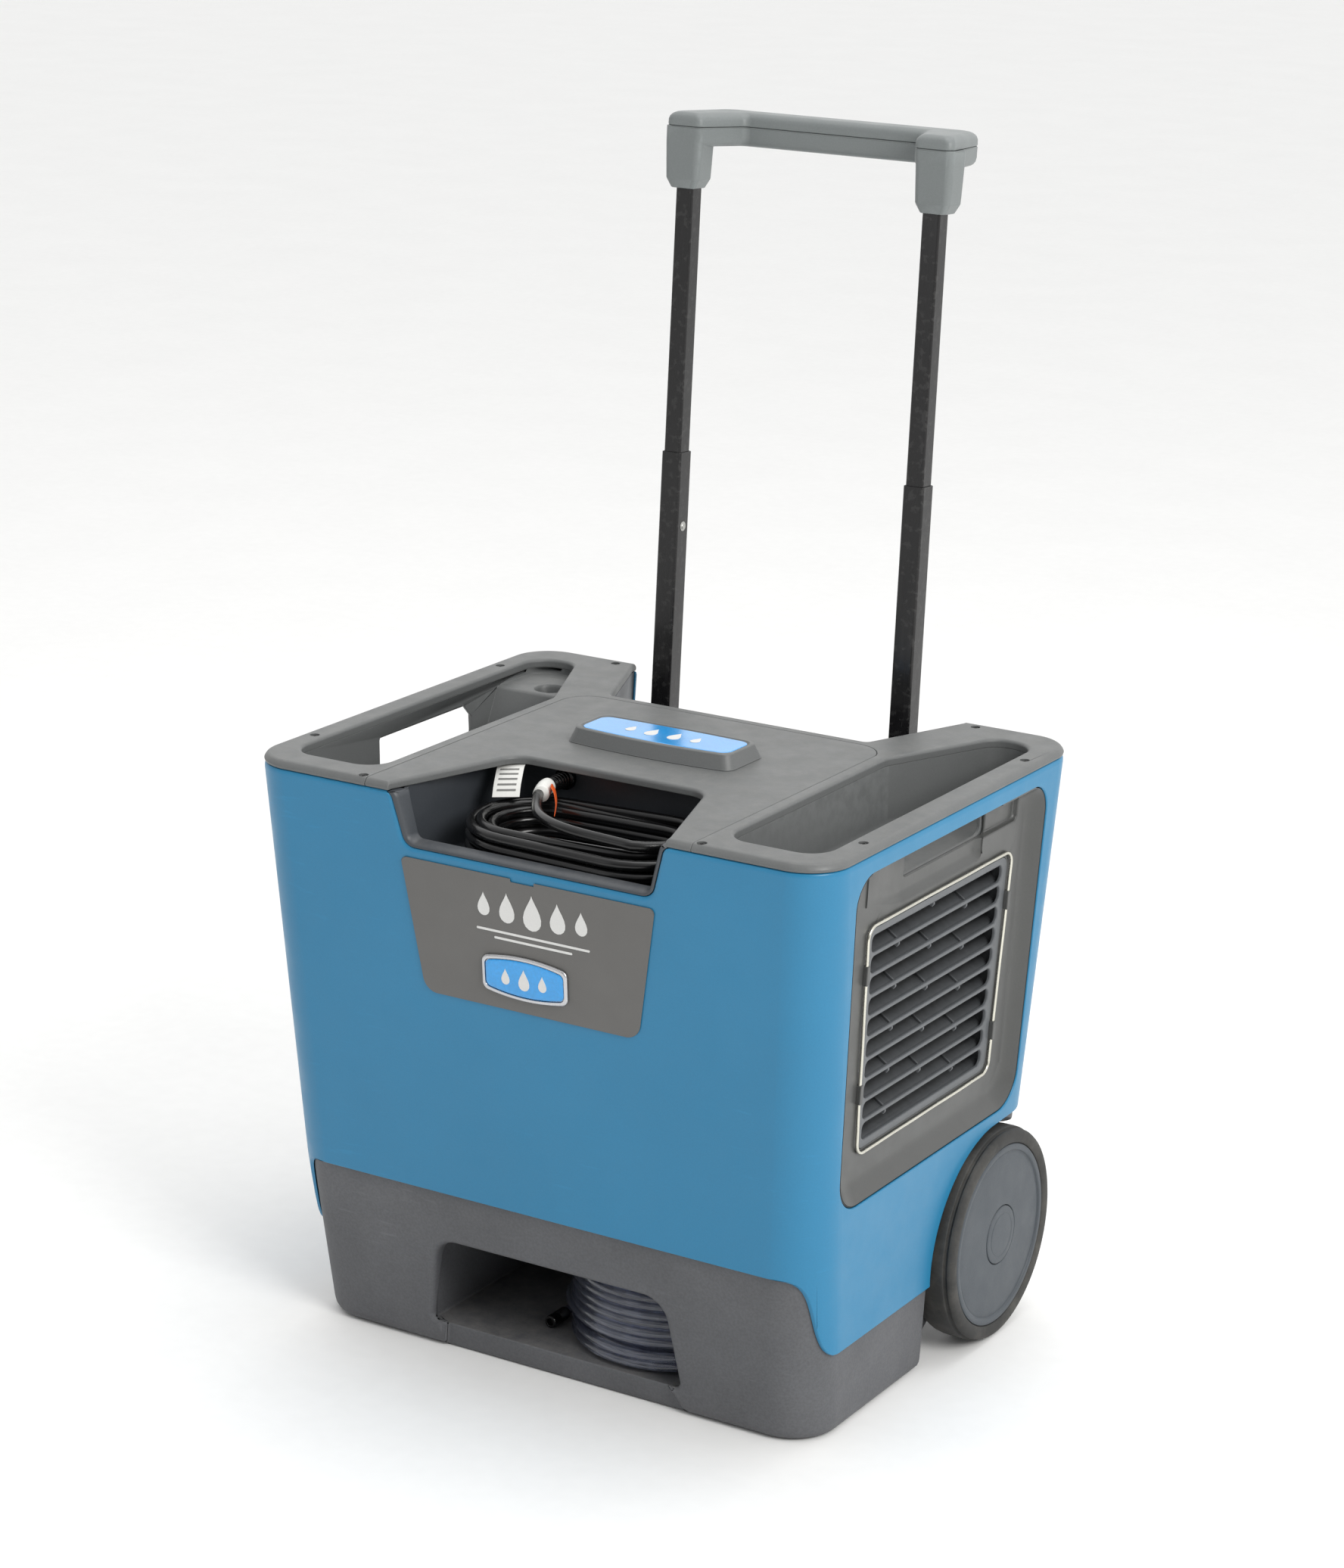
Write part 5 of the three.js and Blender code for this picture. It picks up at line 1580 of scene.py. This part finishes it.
def grip_post(sign):
    """The sleeve of the grip round an upper tube."""
    x, rings = sign * 130.5, []
    for z, half, deep, radius in ((GRIP_BOTTOM, 12.4, 11.4, 4.5), (470.5, 13, 12, 5),
                                  (478, 17.3, 14, 6), (479.5, 17.7, 14.3, 6),
                                  (495, 18.5, 14.6, 6.4), (513, 19.3, 14.9, 6.8),
                                  (526.2, 19.4, 15, 7), (526.8, 19.15, 14.75, 7),
                                  (527, 18.7, 14.3, 6.5)):
        corners = rectangle(x - half, x + half, -deep, deep + 1, radius)
        rings.append(layer("z", outline(corners, 8), z))
    return loft(rings, handle_place)


def grip_lower():
    shell = grip_form((509, 5.6), (509.8, 3.6), (511.2, 1.9), (513.5, 0.7), (517, 0.1),
                      (526.2, 0), (526.8, 0.25), (527, 0.7))
    join(shell, grip_post(1), grip_post(-1))
    half = UPPER_TUBE["side"] / 2 + GAP
    sockets = [prism("z", rectangle(x - half, x + half, -half, half, 2), GRIP_BOTTOM - 5,
                     UPPER_TUBE["to"] + GAP, handle_place) for x in (-HANDLE_X, HANDLE_X)]
    return soften(cut(shell, *sockets), 0.8, 3, 38)


def grip_upper():
    shell = grip_form((527.35, 0.8), (527.6, 0.3), (528.1, 0), (533, 0.15), (535.6, 0.9),
                      (537.4, 2.2), (538.8, 4), (539.6, 5.8), (540, 8))
    return soften(shell, 0.5, 2, 38)


piece(grip_lower(), "grip_lower", "grip_plastic", "handle_upper", ["grip_lower_shell"])
piece(grip_upper(), "grip_upper", "grip_plastic", "handle_upper", ["grip_upper_shell"])


# ---- Rear control panel ----


def panel_ring(inset, depth):
    half, tall = PANEL["half"] - inset, (PANEL["z1"] - PANEL["z0"]) / 2 - inset
    corners = rectangle(-half, half, -tall, tall, 10 - 0.6 * inset)
    return layer("y", outline(corners, 10), -depth)


def button_x(index):
    return (index - (len(BUTTON_NAMES) - 1) / 2) * BUTTON["spacing"]


def panel_plate():
    steps = [(0.8, 4), (0.2, 1.4), (0.4, 0.7), (1, 0.4), (2.2, 0.4)]
    plate = loft([panel_ring(*step) for step in steps], rear_place)
    holes = [rod("y", BUTTON["radius"] + 0.5, -12, 6, button_x(i), BUTTON["z"] - PANEL_Z, 40,
                 rear_place) for i in range(len(BUTTON_NAMES))]
    glass = prism("y", rectangle(-58, 58, 2, 42, 4), -1.9, 6, rear_place)
    return soften(cut(plate, *holes, glass), 0.4, 2, 35)


piece(panel_plate(), "panel", "bay_plastic", stands_for=["control_panel"])
display = prism("y", rectangle(-57.7, 57.7, 2.3, 41.7, 3.8), -3.8, -0.9, rear_place)
piece(soften(display, 0.4, 2), "panel_display", "bay_plastic", material=DETAIL["display_glass"])
for number, x in enumerate((-44, -22, 0, 22, 44), 1):
    profile = [(2.4, -1.2), (2.4, -0.7), (1.8, -0.35), (0.01, -0.2)]
    lamp = turned("y", profile, x, 12, 24, rear_place)
    piece(soften(lamp, 0.1, 2), f"panel_lamp_{number}", "button_plastic",
          material=DETAIL["tag_orange"])
for number, (x0, x1, z) in enumerate([(-44, 8, 33), (-44, 30, 26)], 1):
    print_on(f"panel_scale_{number}", "button_plastic",
             outline(rectangle(x0, x1, z - 1.2, z + 1.2, 1.1)), "y", -1.1, -0.75, rear_place)


def key(index):
    face = rear_y(BUTTON["z"])
    r = BUTTON["radius"]
    profile = [(r + 2, face - 8), (r + 2, face - 5.6), (r, face - 5.5), (r, face + 0.6),
               (r - 0.3, face + 1.4), (r - 1.1, face + 1.9), (r - 2.2, face + 2),
               (r - 3.4, face + 1.7), (0.01, face + 1.3)]
    return soften(turned("y", profile, button_x(index), BUTTON["z"], 48), 0.15, 2)


for index, name in enumerate(BUTTON_NAMES):
    piece(key(index), name + "_key_cap", "button_plastic", name + "_key", [name + "_button"])
    x, z = button_x(index), BUTTON["z"] - 14 - PANEL_Z
    print_on(f"panel_mark_{name}", "button_plastic",
             outline(rectangle(x - 7, x + 7, z - 0.7, z + 0.7, 0.65)), "y", -0.45, -0.12,
             rear_place, 0.08)


# ---- Tags on the power cord ----


def strip(path, across, thickness):
    """A thin folded sheet: path is its middle line and across its width vector."""
    wide = Vector(across) / 2
    rings = []
    for i, p in enumerate(path):
        p = Vector(p)
        before, after = Vector(path[max(i - 1, 0)]), Vector(path[min(i + 1, len(path) - 1)])
        normal = (after - before).cross(wide).normalized() * thickness / 2
        rings.append([tuple(p - wide - normal), tuple(p + wide - normal), tuple(p + wide + normal),
                      tuple(p - wide + normal)])
    return soften(loft(rings), 0.12, 2, 40)


folded = smooth_line([(-103, -96, 542), (-100, -104, 541), (-96, -113, 536), (-92, -122, 529),
                      (-88, -130, 521)], 6)
piece(strip(folded, (23, 9, 2), 0.5), "cord_tag", "cord_rubber",
      material=DETAIL["tag_paper"])
for row in range(5):
    p, q = folded[8 + row * 3], folded[9 + row * 3]
    lift = Vector((-0.1, -0.28, 0.36))
    line_ = strip([Vector(p) + lift, Vector(q) + lift], (16, 6.3, 1.4), 0.12)
    piece(line_, f"cord_tag_rule_{row + 1}", "cord_rubber", material=DETAIL["grey_print"])
sleeve_line = smooth_line([(-62, -101.5, 529), (-61, -108, 529), (-58.6, -115, 528.5),
                           (-54.8, -124, 528)], 4)
piece(tube(sleeve_line, 7.4, 24), "cord_sleeve", "cord_rubber",
      material=DETAIL["tag_paper"])
flag = smooth_line([(-52, -112, 534), (-45, -117, 530), (-40, -122, 522), (-38, -127, 513)], 5)
piece(strip(flag, (9, -16, 2), 0.5), "cord_flag", "cord_rubber",
      material=DETAIL["tag_orange"])


# ---- Closing ----

slots = {row["node"]: row["material_slot"] for row in frame["record"]["subparts"]}
for name, node in frame["nodes"].items():
    if not node.hide_render:
        node.data.materials.clear()
        node.data.materials.append(FINISH[slots[name]])
